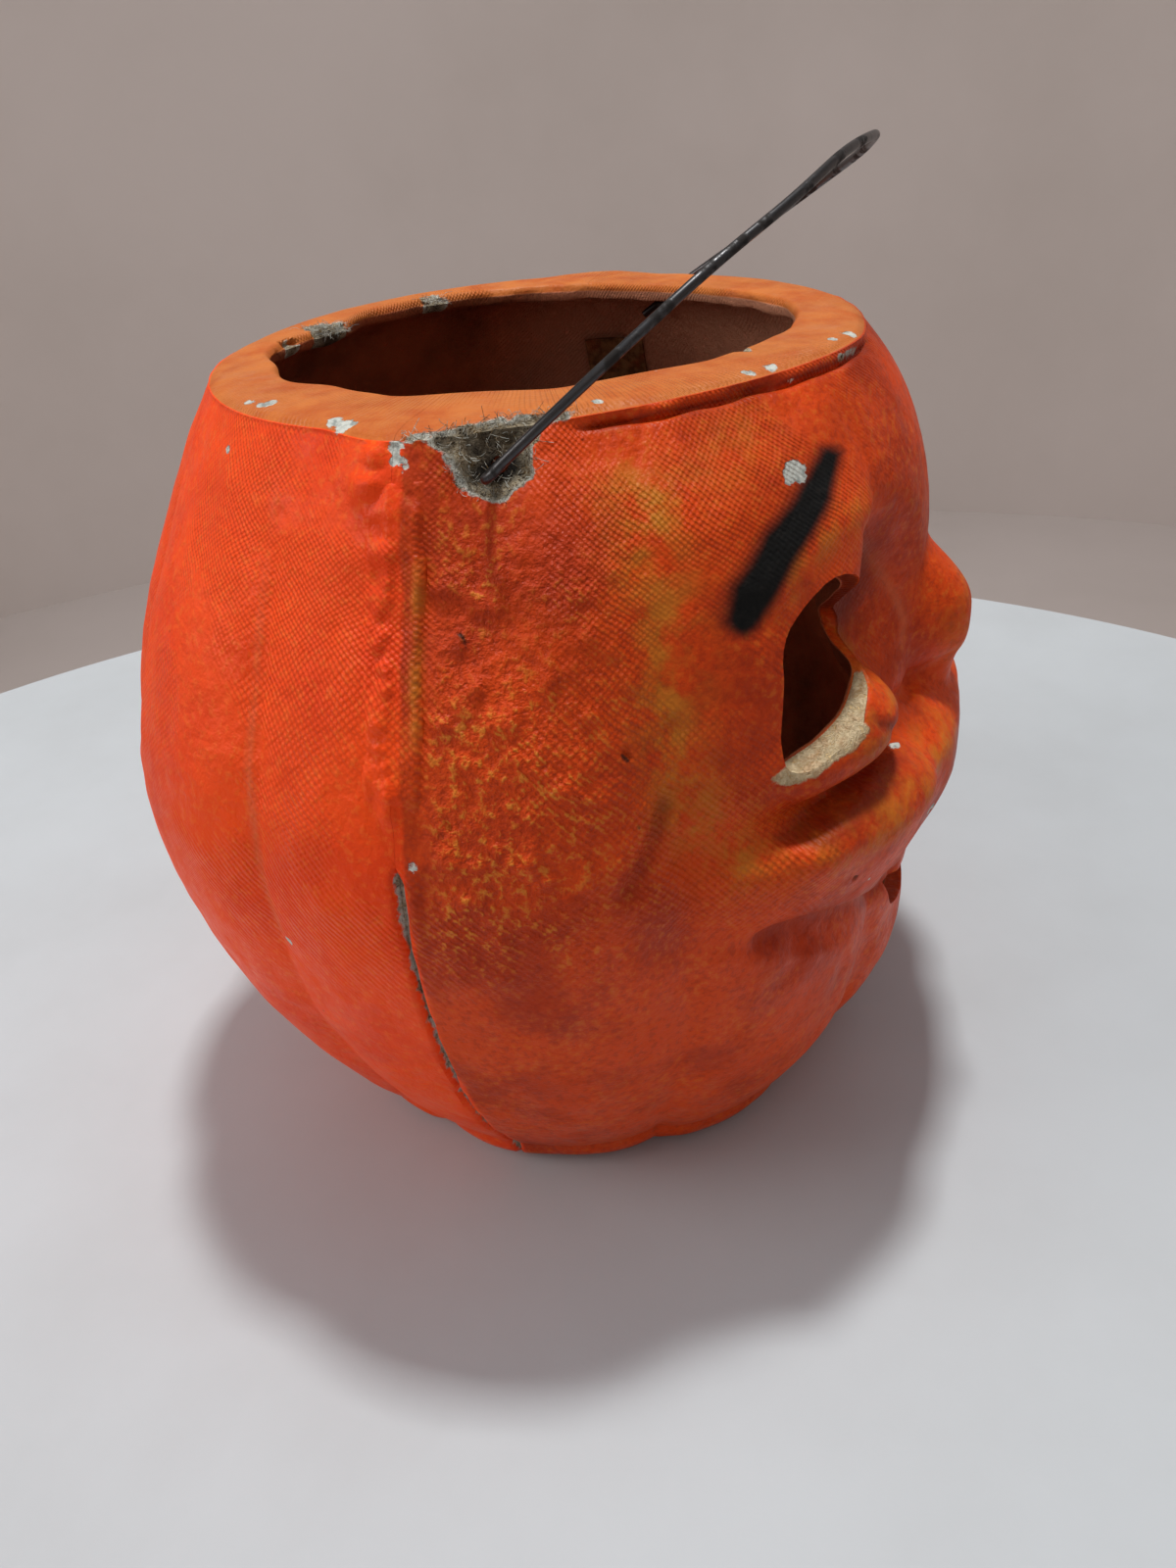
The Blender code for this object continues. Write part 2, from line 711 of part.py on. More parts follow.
def make_cup(group, cutters, material):
    """Tin cup that grips the candle between slotted prongs."""
    bore = RIVET_RADIUS + METAL_CLEARANCE
    inside = CANDLE_RADIUS + CANDLE_CLEARANCE
    outside = inside + METAL_THICKNESS
    profile = [
        (outside, SOCKET_CUP_HEIGHT),
        (outside, METAL_THICKNESS),
        (outside - METAL_THICKNESS, 0),
        (bore, 0),
        (bore, METAL_THICKNESS),
        (inside, METAL_THICKNESS),
        (inside, SOCKET_CUP_HEIGHT),
    ]
    cup = make_turned("candle_cup", profile, group, material, cup_height())
    for index in range(SOCKET_SLOT_COUNT // 2):
        sheet = bmesh.new()
        bmesh.ops.create_cube(sheet, size=1.0)
        bmesh.ops.scale(
            sheet, verts=sheet.verts,
            vec=(4 * outside, SOCKET_SLOT_WIDTH, 2 * SOCKET_SLOT_DEPTH),
        )
        turn = 2 * HALF_TURN * (index + 0.5) / SOCKET_SLOT_COUNT
        bmesh.ops.rotate(sheet, verts=sheet.verts, matrix=Matrix.Rotation(turn, 3, "Z"))
        cutter = add_cutter(f"slot_cutter_{index}", sheet, cutters)
        cutter.location.z = cup_height() + SOCKET_CUP_HEIGHT
        cut(cup, cutter)
    return cup


def make_rivet(group, material):
    """Split rivet: a round head in the cup, a shank through the base and two bent legs."""
    head_base = cup_height() + METAL_THICKNESS + METAL_CLEARANCE
    leg_top = DIMPLE_RISE - METAL_CLEARANCE
    leg_bottom = leg_top - RIVET_LEG_THICKNESS
    profile = [(0, head_base + RIVET_HEAD_HEIGHT)]
    for step in range(1, 4):
        angle = QUARTER_TURN * step / 4
        profile.append((
            RIVET_HEAD_RADIUS * sin(angle), head_base + RIVET_HEAD_HEIGHT * cos(angle)
        ))
    profile += [
        (RIVET_HEAD_RADIUS, head_base),
        (RIVET_RADIUS, head_base),
        (RIVET_RADIUS, leg_bottom),
        (0, leg_bottom),
    ]
    sheet = bmesh.new()
    corners = [sheet.verts.new((radius, 0, height)) for radius, height in profile]
    edges = [sheet.edges.new(pair) for pair in zip(corners, corners[1:])]
    bmesh.ops.spin(
        sheet, geom=corners + edges, cent=(0, 0, 0), axis=(0, 0, 1), angle=2 * HALF_TURN,
        steps=16, use_merge=True,
    )
    bmesh.ops.remove_doubles(sheet, verts=sheet.verts, dist=SMALL_MERGE)
    bmesh.ops.recalc_face_normals(sheet, faces=sheet.faces)
    rivet = add_mesh("split_rivet", sheet, group, material)
    return rivet, leg_top, leg_bottom


def join_legs(rivet, leg_top, leg_bottom, cutters):
    """Add the rivet's two bent legs, one to each half of the lantern."""
    sheet = bmesh.new()
    bmesh.ops.create_cube(sheet, size=1.0)
    bmesh.ops.scale(
        sheet, verts=sheet.verts,
        vec=(RIVET_LEG_WIDTH, 2 * RIVET_LEG_LENGTH, leg_top - leg_bottom),
    )
    bmesh.ops.translate(sheet, verts=sheet.verts, vec=(0, 0, (leg_top + leg_bottom) / 2))
    legs = add_cutter("rivet_legs_form", sheet, cutters)
    modifier = rivet.modifiers.new("legs", "BOOLEAN")
    modifier.operation = "UNION"
    modifier.solver = "EXACT"
    modifier.object = legs


def box_middle_depth(items):
    """Middle of the objects' box along Y."""
    bpy.context.view_layer.update()
    depths = []
    for item in items:
        depths += [(item.matrix_world @ Vector(corner)).y for corner in item.bound_box]
    return (min(depths) + max(depths)) / 2


def main():
    """Build the lantern."""
    clear_scene()
    parts = make_collection("pulp_jack_o_lantern")
    cutters = make_collection("cutters")

    lantern = bpy.data.objects.new("lantern_frame", None)
    parts.objects.link(lantern)
    bail_axis = bpy.data.objects.new("bail_axis", None)
    bail_axis.parent = lantern
    bail_axis.location = hole_place()
    parts.objects.link(bail_axis)

    face_paint = make_material("painted_pulp_face", (0.72, 0.17, 0.02), 0.62)
    rear_paint = make_material("painted_pulp_rear", (0.80, 0.12, 0.02), 0.58)
    near_paper = make_material("painted_tape_near", (0.78, 0.15, 0.02), 0.65)
    far_paper = make_material("painted_tape_far", (0.78, 0.15, 0.02), 0.65)
    kraft_paper = make_material("gummed_tape", (0.30, 0.15, 0.08), 0.85)
    steel_wire = make_material("dark_steel_wire", (0.10, 0.11, 0.11), 0.40, 0.9)
    tin_tray = make_material("tinplate_tray", (0.55, 0.54, 0.50), 0.38, 1.0)
    tin_cup = make_material("tinplate_cup", (0.58, 0.57, 0.53), 0.36, 1.0)
    brass_rivet = make_material("brassed_rivet", (0.60, 0.45, 0.20), 0.40, 1.0)

    front = make_shell("front_shell", True, FRONT_ROWS, parts, face_paint)
    rear = make_shell("rear_shell", False, REAR_ROWS, parts, rear_paint)
    for name, side in (("eye_cutter_near", -1), ("eye_cutter_far", 1)):
        cut(front, make_eye_cutter(name, side, cutters))
    cut(front, make_smile_cutter(cutters))
    hole_radius = WIRE_RADIUS + WIRE_HOLE_CLEARANCE
    cut(front, make_rod_cutter(
        "wire_hole_cutter", hole_radius, 4 * RIM_HALF_WIDTH, hole_place(), True, cutters
    ))
    rivet_cutter = make_rod_cutter(
        "rivet_hole_cutter", RIVET_RADIUS + METAL_CLEARANCE, 4 * WALL,
        Vector((0, 0, DIMPLE_RISE + WALL / 2)), False, cutters,
    )
    cut(front, rivet_cutter)
    cut(rear, rivet_cutter)

    outer_tapes = [
        make_outer_tape("seam_tape_near", 1, parts, near_paper),
        make_outer_tape("seam_tape_far", -1, parts, far_paper),
    ]
    inner_tape = make_inner_tape(parts, kraft_paper)
    cut(inner_tape, rivet_cutter)
    tray = make_tray(parts, tin_tray)
    cup = make_cup(parts, cutters, tin_cup)
    rivet, leg_top, leg_bottom = make_rivet(parts, brass_rivet)
    join_legs(rivet, leg_top, leg_bottom, cutters)
    make_bail(parts, steel_wire, bail_axis)

    fixed = [front, rear, inner_tape, tray, cup, rivet] + outer_tapes + list(cutters.objects)
    middle = box_middle_depth([front, rear])
    for item in fixed:
        item.parent = lantern
    lantern.location.y = -middle


main()
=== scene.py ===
"""Looks of the moulded pulp jack-o-lantern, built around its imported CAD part.

The shapes below are in millimetres, in the frame of the lantern's seam plane, and are moved to
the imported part's frame when their meshes are made. Bearings run from the face towards -X.
"""

import itertools
import json
import logging
from dataclasses import dataclass, field
from enum import Enum
from math import pi

import bmesh
import bpy
import numpy as np
from mathutils import Matrix, Vector

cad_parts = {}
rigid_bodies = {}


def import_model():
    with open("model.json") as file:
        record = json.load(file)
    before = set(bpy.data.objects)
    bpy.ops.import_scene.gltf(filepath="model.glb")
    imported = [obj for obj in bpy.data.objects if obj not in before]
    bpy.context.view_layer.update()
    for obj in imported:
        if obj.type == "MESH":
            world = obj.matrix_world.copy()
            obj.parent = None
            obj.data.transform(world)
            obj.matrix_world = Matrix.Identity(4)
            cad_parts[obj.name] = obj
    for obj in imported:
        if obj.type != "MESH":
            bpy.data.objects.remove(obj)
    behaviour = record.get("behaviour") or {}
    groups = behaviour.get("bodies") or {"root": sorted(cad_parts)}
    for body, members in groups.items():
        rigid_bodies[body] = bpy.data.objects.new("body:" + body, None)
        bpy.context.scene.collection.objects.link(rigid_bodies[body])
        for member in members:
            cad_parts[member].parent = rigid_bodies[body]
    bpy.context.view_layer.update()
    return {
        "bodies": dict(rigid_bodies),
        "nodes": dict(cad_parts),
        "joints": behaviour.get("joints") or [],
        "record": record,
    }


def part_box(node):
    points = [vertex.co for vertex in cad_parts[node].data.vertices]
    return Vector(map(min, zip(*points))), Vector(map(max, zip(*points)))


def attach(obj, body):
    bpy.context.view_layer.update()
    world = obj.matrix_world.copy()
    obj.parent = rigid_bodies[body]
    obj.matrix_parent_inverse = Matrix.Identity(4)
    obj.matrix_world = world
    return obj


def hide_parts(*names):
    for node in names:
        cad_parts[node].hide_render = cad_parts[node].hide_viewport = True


MM = 0.001
LOG = logging.getLogger("pulp_lantern")

Array = np.ndarray
Pair = tuple[float, float]
Triple = tuple[float, float, float]
Spot = tuple[float, float, float, float]


class Half(Enum):
    """The two pressed halves of the lantern."""

    FRONT = "front_shell"
    REAR = "rear_shell"


class Slot(Enum):
    """Material slots of the record that the pieces take."""

    FACE = "painted_pulp_face"
    REAR = "painted_pulp_rear"
    NEAR_TAPE = "painted_tape_near"
    FAR_TAPE = "painted_tape_far"
    GUMMED = "gummed_tape"
    TRAY = "tinplate_tray"
    CUP = "tinplate_cup"
    RIVET = "brassed_rivet"
    WIRE = "dark_steel_wire"


# ---- plain functions on arrays


def ease(share: Array) -> Array:
    """Smooth step of values, which are taken as 0 below 0 and as 1 above 1."""
    share = np.clip(share, 0.0, 1.0)
    return share * share * (3 - 2 * share)


def window(values: Array, rise: Pair, fall: Pair) -> Array:
    """Share of values that grows from 0 to 1 over one span and falls back over another."""
    share = ease((values - rise[0]) / (rise[1] - rise[0]))
    return share * ease((fall[1] - values) / (fall[1] - fall[0]))


def dome(distance: Array) -> Array:
    """Round bump: 1 at no distance from its middle and 0 from a distance of 1 on."""
    return np.clip(1 - distance * distance, 0.0, None) ** 2


def lattice_noise(points: Array, pitch: float, seed: int) -> Array:
    """Smooth random field.

    Args:
        points: Places, one row each.
        pitch: Spacing of the field's lattice, in the places' unit.
        seed: Picks the field.

    Returns:
        One value from -1 to 1 for each place.
    """
    table = np.random.default_rng(seed).uniform(-1.0, 1.0, 8192)
    cells = points / pitch
    base = np.floor(cells).astype(np.int64)
    part = ease(cells - base)
    total = np.zeros(len(points))
    keys = np.array([73856093, 19349663, 83492791])
    for corner in itertools.product((0, 1), repeat=3):
        step = np.array(corner)
        index = ((base + step) @ keys) % len(table)
        total += table[index] * np.prod(np.where(step, part, 1 - part), axis=1)
    return total


def line_distance(points: Array, line: tuple) -> Array:
    """Distance to a line of straight pieces.

    Args:
        points: Places, one row each.
        line: Corners of the line, of as many numbers as a place.

    Returns:
        The least distance from each place to the line.
    """
    corners = np.array(line, float)
    best = np.full(len(points), np.inf)
    for start, stop in zip(corners, corners[1:]):
        run = stop - start
        share = np.clip((points - start) @ run / (run @ run), 0.0, 1.0)
        best = np.minimum(best, np.linalg.norm(points - start - share[:, None] * run, axis=1))
    return best


def ring_depth(points: Array, ring: tuple) -> Array:
    """How deep places lie inside a closed outline.

    Args:
        points: Places in a plane, one row each.
        ring: Corners of the outline.

    Returns:
        Distance to the outline, positive inside it and negative outside.
    """
    corners = np.array(ring, float)
    inside = np.zeros(len(points), bool)
    for start, stop in zip(corners, np.roll(corners, -1, axis=0)):
        spans = (start[1] > points[:, 1]) != (stop[1] > points[:, 1])
        climb = np.where(abs(stop[1] - start[1]) < 1e-9, 1e-9, stop[1] - start[1])
        crossing = start[0] + (points[:, 1] - start[1]) * (stop[0] - start[0]) / climb
        inside ^= spans & (points[:, 0] < crossing)
    closed = tuple(map(tuple, np.vstack([corners, corners[:1]])))
    distance = line_distance(points, closed)
    return np.where(inside, distance, -distance)


def signed_degrees(bearing: Array) -> Array:
    """Bearings in degrees from -180 up to 180, of bearings in radians of any turn."""
    return (np.degrees(bearing) + 180) % 360 - 180


def by_bearing(bearing: Array, table: tuple[Pair, ...]) -> Array:
    """Value of a round table at bearings.

    Args:
        bearing: Bearings in radians.
        table: Pairs of a bearing in degrees, rising from -180 on, and a value.

    Returns:
        The table's value at each bearing, on a smooth curve through its entries.
    """
    turns = np.array([turn for turn, _ in table], float)
    values = np.array([value for _, value in table], float)
    count = len(table)
    at = (np.degrees(bearing) - turns[0]) % 360 + turns[0]
    index = np.searchsorted(turns, at, side="right") - 1
    following = np.append(turns, turns[0] + 360)[index + 1]
    share = (at - turns[index]) / (following - turns[index])
    before, start, stop, after = (values[(index + step) % count] for step in (-1, 0, 1, 2))
    bend = 2 * before - 5 * start + 4 * stop - after
    twist = 3 * (start - stop) + after - before
    return start + 0.5 * share * (stop - before + share * (bend + share * twist))


@dataclass(frozen=True)
class Lumps:
    """Random lumps of one size."""

    pitch: float
    seed: int
    reach: float = 1.0

    def at(self, points: Array) -> Array:
        """Their signed reach at places."""
        return self.reach * lattice_noise(points, self.pitch, self.seed)


@dataclass(frozen=True)
class Stroke:
    """A fold, a rubbed band or a grimy crease along a line."""

    line: tuple[tuple[float, ...], ...]
    width: float
    reach: float

    def at(self, points: Array) -> Array:
        """Its reach or share at places, which fades over its width."""
        return self.reach * np.exp(-(line_distance(points, self.line) / self.width) ** 2)


def strokes(points: Array, items: tuple[Stroke, ...]) -> Array:
    """Sum of strokes at places of as many numbers as their corners."""
    return sum((item.at(points) for item in items), np.zeros(len(points)))


# ---- the lantern's form


@dataclass(frozen=True)
class Girth:
    """Half width of the body in one direction at three heights, and how full its curves are."""

    foot: float
    belly: float
    rim: float
    lower: float
    upper: float

    def at(self, height: Array, belly_height: float, top: float) -> Array:
        """Half width at heights.

        Args:
            height: Heights.
            belly_height: Height of the widest place.
            top: Height of the rim.

        Returns:
            The half width at each height.
        """
        below = np.clip(1 - height / belly_height, 0.0, None) ** self.lower
        above = np.clip((height - belly_height) / (top - belly_height), 0.0, None) ** self.upper
        return self.belly - (self.belly - self.foot) * below - (self.belly - self.rim) * above


@dataclass(frozen=True)
class PulpForm:
    """Shape of the pressed body, as the CAD source has it, with what its coarse mesh leaves out."""

    top: float = 136.0
    belly_height: float = 77.0
    side: Girth = Girth(46.0, 78.4, 52.6, 2.0, 1.55)
    face: Girth = Girth(44.0, 65.0, 51.7, 4.0, 4.3)
    rear: Girth = Girth(41.4, 73.0, 48.0, 2.0, 1.55)
    grooves: tuple[float, ...] = (-24, 24, 61, 108, 144, 180)
    groove_depth: float = 2.3
    groove_fade: float = 30.0
    wall: float = 3.0
    rim_radius: float = 1.4
    lip_radius: float = 1.0
    corner_height: float = 7.0
    corner_inset: float = 8.0
    ring_width: float = 10.0
    dimple_rise: float = 2.4
    dimple_ramp: float = 4.0
    crest: float = 74.0
    cheek_reach: float = 7.8
    cheek_length: float = 70.0
    smile_drop: float = 28.0
    smile_rise: float = 26.0
    opening: tuple[Pair, ...] = (
        (-180, 40.6), (-164, 38.4), (-148, 42.0), (-120, 42.0), (-90, 40.2), (-66, 39.4),
        (-44, 41.6), (-20, 43.2), (6, 40.8), (32, 38.6), (50, 37.0), (67, 38.2), (84, 37.2),
        (100, 38.8), (119, 37.8), (134, 39.8), (150, 39.6), (168, 41.2),
    )

    def wall_radius(self, bearing: Array, height: Array) -> Array:
        """Radius of the outer wall without the face.

        Args:
            bearing: Bearings.
            height: Heights.

        Returns:
            The radius at each place.
        """
        across = np.abs(np.sin(bearing))
        along = np.cos(bearing)
        spans = (self.belly_height, self.top)
        depth = np.where(along > 0, self.face.at(height, *spans), self.rear.at(height, *spans))
        power = np.where(along > 0, 2.1, 2.0)
        wide = (across / self.side.at(height, *spans)) ** power
        radius = (wide + (np.abs(along) / depth) ** power) ** (-1 / power)
        return radius - self.groove(bearing, height) + self.warp(bearing, height)

    def groove(self, bearing: Array, height: Array) -> Array:
        """Depth of the rib grooves.

        Args:
            bearing: Bearings.
            height: Heights.

        Returns:
            The depth at each place of the wall.
        """
        turn = np.abs(signed_degrees(bearing))
        edges = np.array(self.grooves, float)
        index = np.clip(np.searchsorted(edges, turn, side="right") - 1, 0, len(edges) - 2)
        share = (turn - edges[index]) / (edges[index + 1] - edges[index])
        fade = ease((self.top - height) / self.groove_fade)
        return self.groove_depth * fade * (1 - np.sin(pi * np.clip(share, 0, 1))) ** 2

    def warp(self, bearing: Array, height: Array) -> Array:
        """Outward warp of the rim's corners, less the dent over the near brow.

        Args:
            bearing: Bearings.
            height: Heights.

        Returns:
            How far each place of the wall stands out.
        """
        drop = self.top - height
        turn = signed_degrees(bearing)
        corner = 4.0 * ease(1 - drop / 24) * dome((np.abs(turn) - 90) / 14)
        dent = 4.5 * ease(1 - drop / 16) * dome((turn - 44) / 44)
        return corner - dent

    def opening_radius(self, bearing: Array) -> Array:
        """Radius of the top opening, with its torn, wavy edge."""
        ripple = 0.22 * np.sin(11 * bearing + 1.0) + 0.14 * np.sin(23 * bearing)
        return by_bearing(bearing, self.opening) + ripple

    def smile_line(self, side: Array) -> Array:
        """Height of the crease under the cheeks."""
        return self.crest - self.smile_drop + self.smile_rise * (side / self.cheek_length) ** 2

    def relief(self, offset: Array, height: Array) -> Array:
        """How far the face stands out.

        Args:
            offset: Offsets from the middle plane.
            height: Heights.

        Returns:
            The reach along -Y at each place in front view.
        """
        side = np.abs(offset)

        def bump(middle: Pair, half: Pair) -> Array:
            """Round bump with half a width and half a height."""
            return dome(np.hypot((side - middle[0]) / half[0], (height - middle[1]) / half[1]))

        total = -2.2 * bump((0, 86), (52, 26))
        span = np.where(height > 89, 15.0, 12.5)
        total += 9.4 * dome(np.hypot(side / 12.5, (height - 89) / span) ** 1.4)
        total -= 7.0 * bump((24, 102), (15, 17))
        total += 3.5 * bump((42, 89.5), (18, 6.5))
        total += 2.0 * bump((0, 25), (34, 15))
        return total + self.cheeks(side, height)

    def cheeks(self, side: Array, height: Array) -> Array:
        """Upper lip and cheek rolls, with the creases over and under them.

        Args:
            side: Unsigned offsets from the middle plane.
            height: Heights.

        Returns:
            The reach along -Y at each place in front view.
        """
        top = 10.0 - 2.4 * ease(1.5 * side / self.cheek_length)
        line = self.smile_line(side)
        span = np.where(height > self.crest, top, self.crest - line)
        fullness = dome((side / self.cheek_length) ** 3)
        total = self.cheek_reach * fullness * dome((height - self.crest) / span)
        window = dome((side - 48) / 23)
        for crease in (self.crest + top, line):
            total = total - 2.8 * window * dome((height - crease) / 5.5)
        return total


@dataclass(frozen=True)
class Marks:
    """Where the wear, the paint and the painted light and shade of the photographed lantern lie."""

    brow: tuple[Pair, ...] = (
        (-28.2, 125.6), (-31.4, 123.9), (-38.9, 120.0), (-44.2, 117.1), (-49.0, 112.9),
        (-51.6, 109.6), (-53.0, 108.9), (-53.8, 110.6), (-51.8, 115.0), (-45.7, 119.8),
        (-37.9, 123.7), (-30.8, 126.3),
    )
    patch: tuple[Pair, ...] = (
        (-0.9, 135.0), (-1.6, 136.2), (-4.5, 136.3), (-8.1, 136.9), (-11.8, 137.2),
        (-14.9, 136.9), (-19.0, 136.5), (-21.0, 135.6), (-17.0, 134.4), (-15.6, 132.6),
        (-16.3, 129.9), (-15.4, 129.1), (-13.1, 127.4), (-10.2, 128.1), (-7.9, 129.3),
        (-6.7, 131.5), (-5.7, 133.6), (-3.7, 134.9),
    )
    hole: Pair = (-11.7, 130.8)
    # Scuffed paint along the near side, and a painted highlight in a band over the near brow.
    rubbed_and_lit: tuple[Stroke, ...] = (
        Stroke((
            (-52.0, -28.5, 127.0), (-53.6, -30.5, 120.5), (-56.7, -32.6, 111.4),
            (-60.1, -32.9, 102.1), (-62.1, -34.3, 93.2), (-62.4, -35.5, 89.0), (-60.5, -42.8, 79.0),
        ), 4.6, 1.0),
        Stroke(((-51.2, -29.6, 124.7), (-44.0, -36.0, 127.0), (-35.8, -41.0, 130.0)), 4.0, 0.5),
    )
    # Painted highlights on the cheek rolls, the brow ridges and the pads under the eyes, with some
    # scuffed paint.
    rubbed_and_lit_face: tuple[Stroke, ...] = (
        Stroke(((54.0, 77.0), (46.0, 77.5), (37.0, 77.0), (28.0, 76.0), (14.0, 75.0)), 3.6, 0.8),
        Stroke(((48.5, 113.0), (43.0, 116.5), (36.0, 118.0), (29.0, 117.5)), 2.6, 0.7),
        Stroke(((44.0, 89.0), (34.0, 92.0), (26.0, 94.5)), 3.4, 0.8),
    )
    nose_tip: Triple = (0.0, -71.0, 90.0)
    roll_crease: tuple[Pair, ...] = (
        (55.0, 79.2), (51.5, 79.8), (46.0, 80.4), (40.0, 81.0), (33.4, 81.6), (26.5, 82.4),
    )
    under_crease: tuple[Pair, ...] = (
        (54.9, 61.9), (46.6, 59.6), (41.6, 57.4), (33.0, 53.6), (24.9, 50.4), (17.0, 48.0),
    )
    nose_crease: tuple[Pair, ...] = (
        (31.0, 115.5), (23.0, 110.5), (17.5, 104.5), (14.5, 99.0), (13.2, 94.0), (15.0, 90.5),
    )
    lip_crease: tuple[Pair, ...] = ((5.0, 83.6), (9.0, 82.4), (15.0, 82.4), (20.0, 84.0))
    pad_crack: tuple[Pair, ...] = (
        (41.0, 90.6), (37.5, 88.4), (34.0, 86.6), (30.0, 85.6), (27.0, 86.6),
    )
    folds: tuple[Stroke, ...] = (
        Stroke(roll_crease, 1.2, -0.9),
        Stroke(under_crease, 1.8, -1.3),
        Stroke(nose_crease, 1.8, -0.35),
        Stroke(lip_crease, 1.3, -0.9),
        Stroke(pad_crack, 0.9, -0.5),
        Stroke(((53.0, 51.0), (47.9, 57.5)), 2.0, -0.6),
        Stroke(((39.0, 46.0), (37.0, 38.0), (37.5, 28.0)), 2.0, -0.6),
        Stroke(((24.0, 44.0), (22.0, 34.0), (22.5, 24.0)), 2.0, -0.6),
        Stroke(((48.5, 113.5), (43.0, 117.0), (36.0, 118.5), (29.0, 117.5)), 2.8, 0.7),
        Stroke(((54.0, 76.3), (46.0, 77.4), (37.0, 77.0), (28.0, 75.6)), 3.8, 1.8),
        Stroke(((55.0, 76.6), (46.0, 78.0), (36.0, 79.0), (27.0, 79.6)), 1.6, 1.2),
        Stroke(((51.0, 86.4), (44.0, 87.0), (36.0, 88.2), (28.0, 90.0)), 3.2, 1.7),
    )
    # Painted shade along the cheek creases, under the rolls and in the crack of each pad.
    shaded_creases: tuple[Stroke, ...] = (
        Stroke(roll_crease, 1.0, 0.7),
        Stroke(under_crease, 2.5, 0.35),
        Stroke(pad_crack, 0.8, 0.9),
    )
    nose_line: Stroke = Stroke(nose_crease, 0.9, 0.7)
    rib: Stroke = Stroke((
        (-53.5, 19.2, 129.8), (-58.0, 20.4, 120.7), (-64.8, 22.4, 104.1), (-68.4, 23.8, 93.8),
        (-71.2, 23.8, 83.0), (-72.0, 22.8, 68.3),
    ), 0.6, 0.8)
    dent_line: tuple[Triple, ...] = (
        (-64.6, -33.2, 89.5), (-67.0, -32.0, 84.5), (-70.0, -29.6, 79.5),
    )
    dent: Stroke = Stroke(dent_line, 1.6, -1.0)
    # Painted shade in the dent on the near side.
    dent_shade: Stroke = Stroke(dent_line, 1.3, 0.9)
    ledge: tuple[Pair, ...] = ((54.6, 89.2), (49.0, 90.6), (44.5, 92.0))
    notches: tuple[Triple, ...] = (
        (8.0, 38.5, 4.2), (-2.0, 40.0, 2.0), (32.0, 27.5, 2.2), (-16.0, -36.5, 1.4),
    )
    blisters: tuple[tuple[float, ...], ...] = (
        (-57.6, 2.6, 133.2, 1.5, 0.7), (-58.9, 4.1, 129.7, 1.8, 0.8), (-59.4, 2.2, 130.4, 1.2, 0.6),
    )
    chips: tuple[Spot, ...] = (
        (-52.2, 8.6, 135.9, 1.7), (-50.8, 10.4, 135.6, 1.2), (-42.5, 24.3, 136.0, 1.3),
        (-41.1, 27.6, 135.9, 0.9), (-57.8, -0.3, 134.6, 0.9), (-58.6, -0.6, 133.2, 0.8),
        (-58.7, -1.3, 132.2, 0.6), (-43.2, -22.1, 135.6, 0.7), (-27.7, -39.2, 135.4, 1.0),
        (-24.6, -41.8, 135.2, 1.1), (-9.7, -48.9, 135.4, 0.8), (-5.2, -50.8, 135.4, 1.1),
        (-37.0, -46.9, 125.2, 1.75), (-38.3, -46.2, 125.0, 1.2), (-31.6, -49.5, 127.4, 0.7),
        (-40.8, -48.8, 118.0, 0.6), (-30.4, -61.5, 81.9, 1.2), (-19.7, -67.9, 63.5, 1.3),
        (-44.2, -58.5, 66.5, 0.6), (-72.2, 21.4, 66.8, 0.6), (-77.9, -2.7, 85.9, 1.0),
        (-60.0, -17.4, 118.4, 0.6), (-52.3, -19.0, 132.0, 0.8), (-51.4, -18.3, 133.2, 0.5),
        (-46.0, 29.5, 130.6, 0.5), (-48.6, -53.0, 47.4, 0.5), (-24.5, -44.4, 133.6, 0.5),
    )
    pinholes: tuple[Spot, ...] = (
        (-48.2, -30.4, 129.3, 0.7), (-64.7, -6.6, 116.6, 0.45), (-64.4, -8.5, 116.8, 0.4),
        (-65.8, -8.7, 113.6, 0.45), (-66.3, -9.3, 112.4, 0.5), (-65.9, -28.9, 97.7, 0.8),
        (-67.5, -30.3, 88.2, 0.4), (-75.2, -7.2, 91.4, 0.5), (-75.8, -6.4, 90.0, 0.6),
        (-25.5, -43.6, 131.8, 0.9), (-48.8, -57.0, 69.6, 0.7),
    )


FORM = PulpForm()
MARKS = Marks()
EYE = ((39.0, 113.6), (49.5, 108.0), (55.0, 88.5), (23.0, 98.5))
EYE_ROUNDING = (6.0, 4.0, 3.4, 5.0)
SMILE_HALF_WIDTH = 19.5
SMILE_OPEN = 11.0
CRACK_TOP = 89.0
OFFSET = 4.0  # added to the stored depth fields, which lie between -4 and 4
SEAM_GAP = 0.02
WALL_TO_SEAM = 0.15  # from the CAD half's rear edge to the seam plane
HOOK_ROOM = (-52.0, -10.0, 130.0)  # middle of the room for the near hook inside the wall
SHARP_ANGLE = np.radians(50)
SKIN = (Lumps(13.0, 1, 0.30), Lumps(5.5, 2, 0.16))


def mirror_front(points: Array) -> Array:
    """Front view of places in space, folded onto one side: unsigned offset and height."""
    return np.column_stack([np.abs(points[:, 0]), points[:, 2]])


# ---- pressed halves


@dataclass
class Sheet:
    """A half's surface as a grid of places, with what is known of each."""

    place: Array
    bearing: Array
    unfolded: Array
    lip: Array
    inside: Array

    @property
    def flat(self) -> Array:
        """Places as rows."""
        return self.place.reshape(-1, 3)

    def normals(self) -> Array:
        """Unit normals of the grid.

        Returns:
            One for each place, pointing out of the pulp.
        """
        rows = np.gradient(self.place, axis=0)
        columns = np.gradient(self.place, axis=1)
        normal = np.cross(rows, columns)
        length = np.linalg.norm(normal, axis=2, keepdims=True)
        return normal / np.maximum(length, 1e-9)


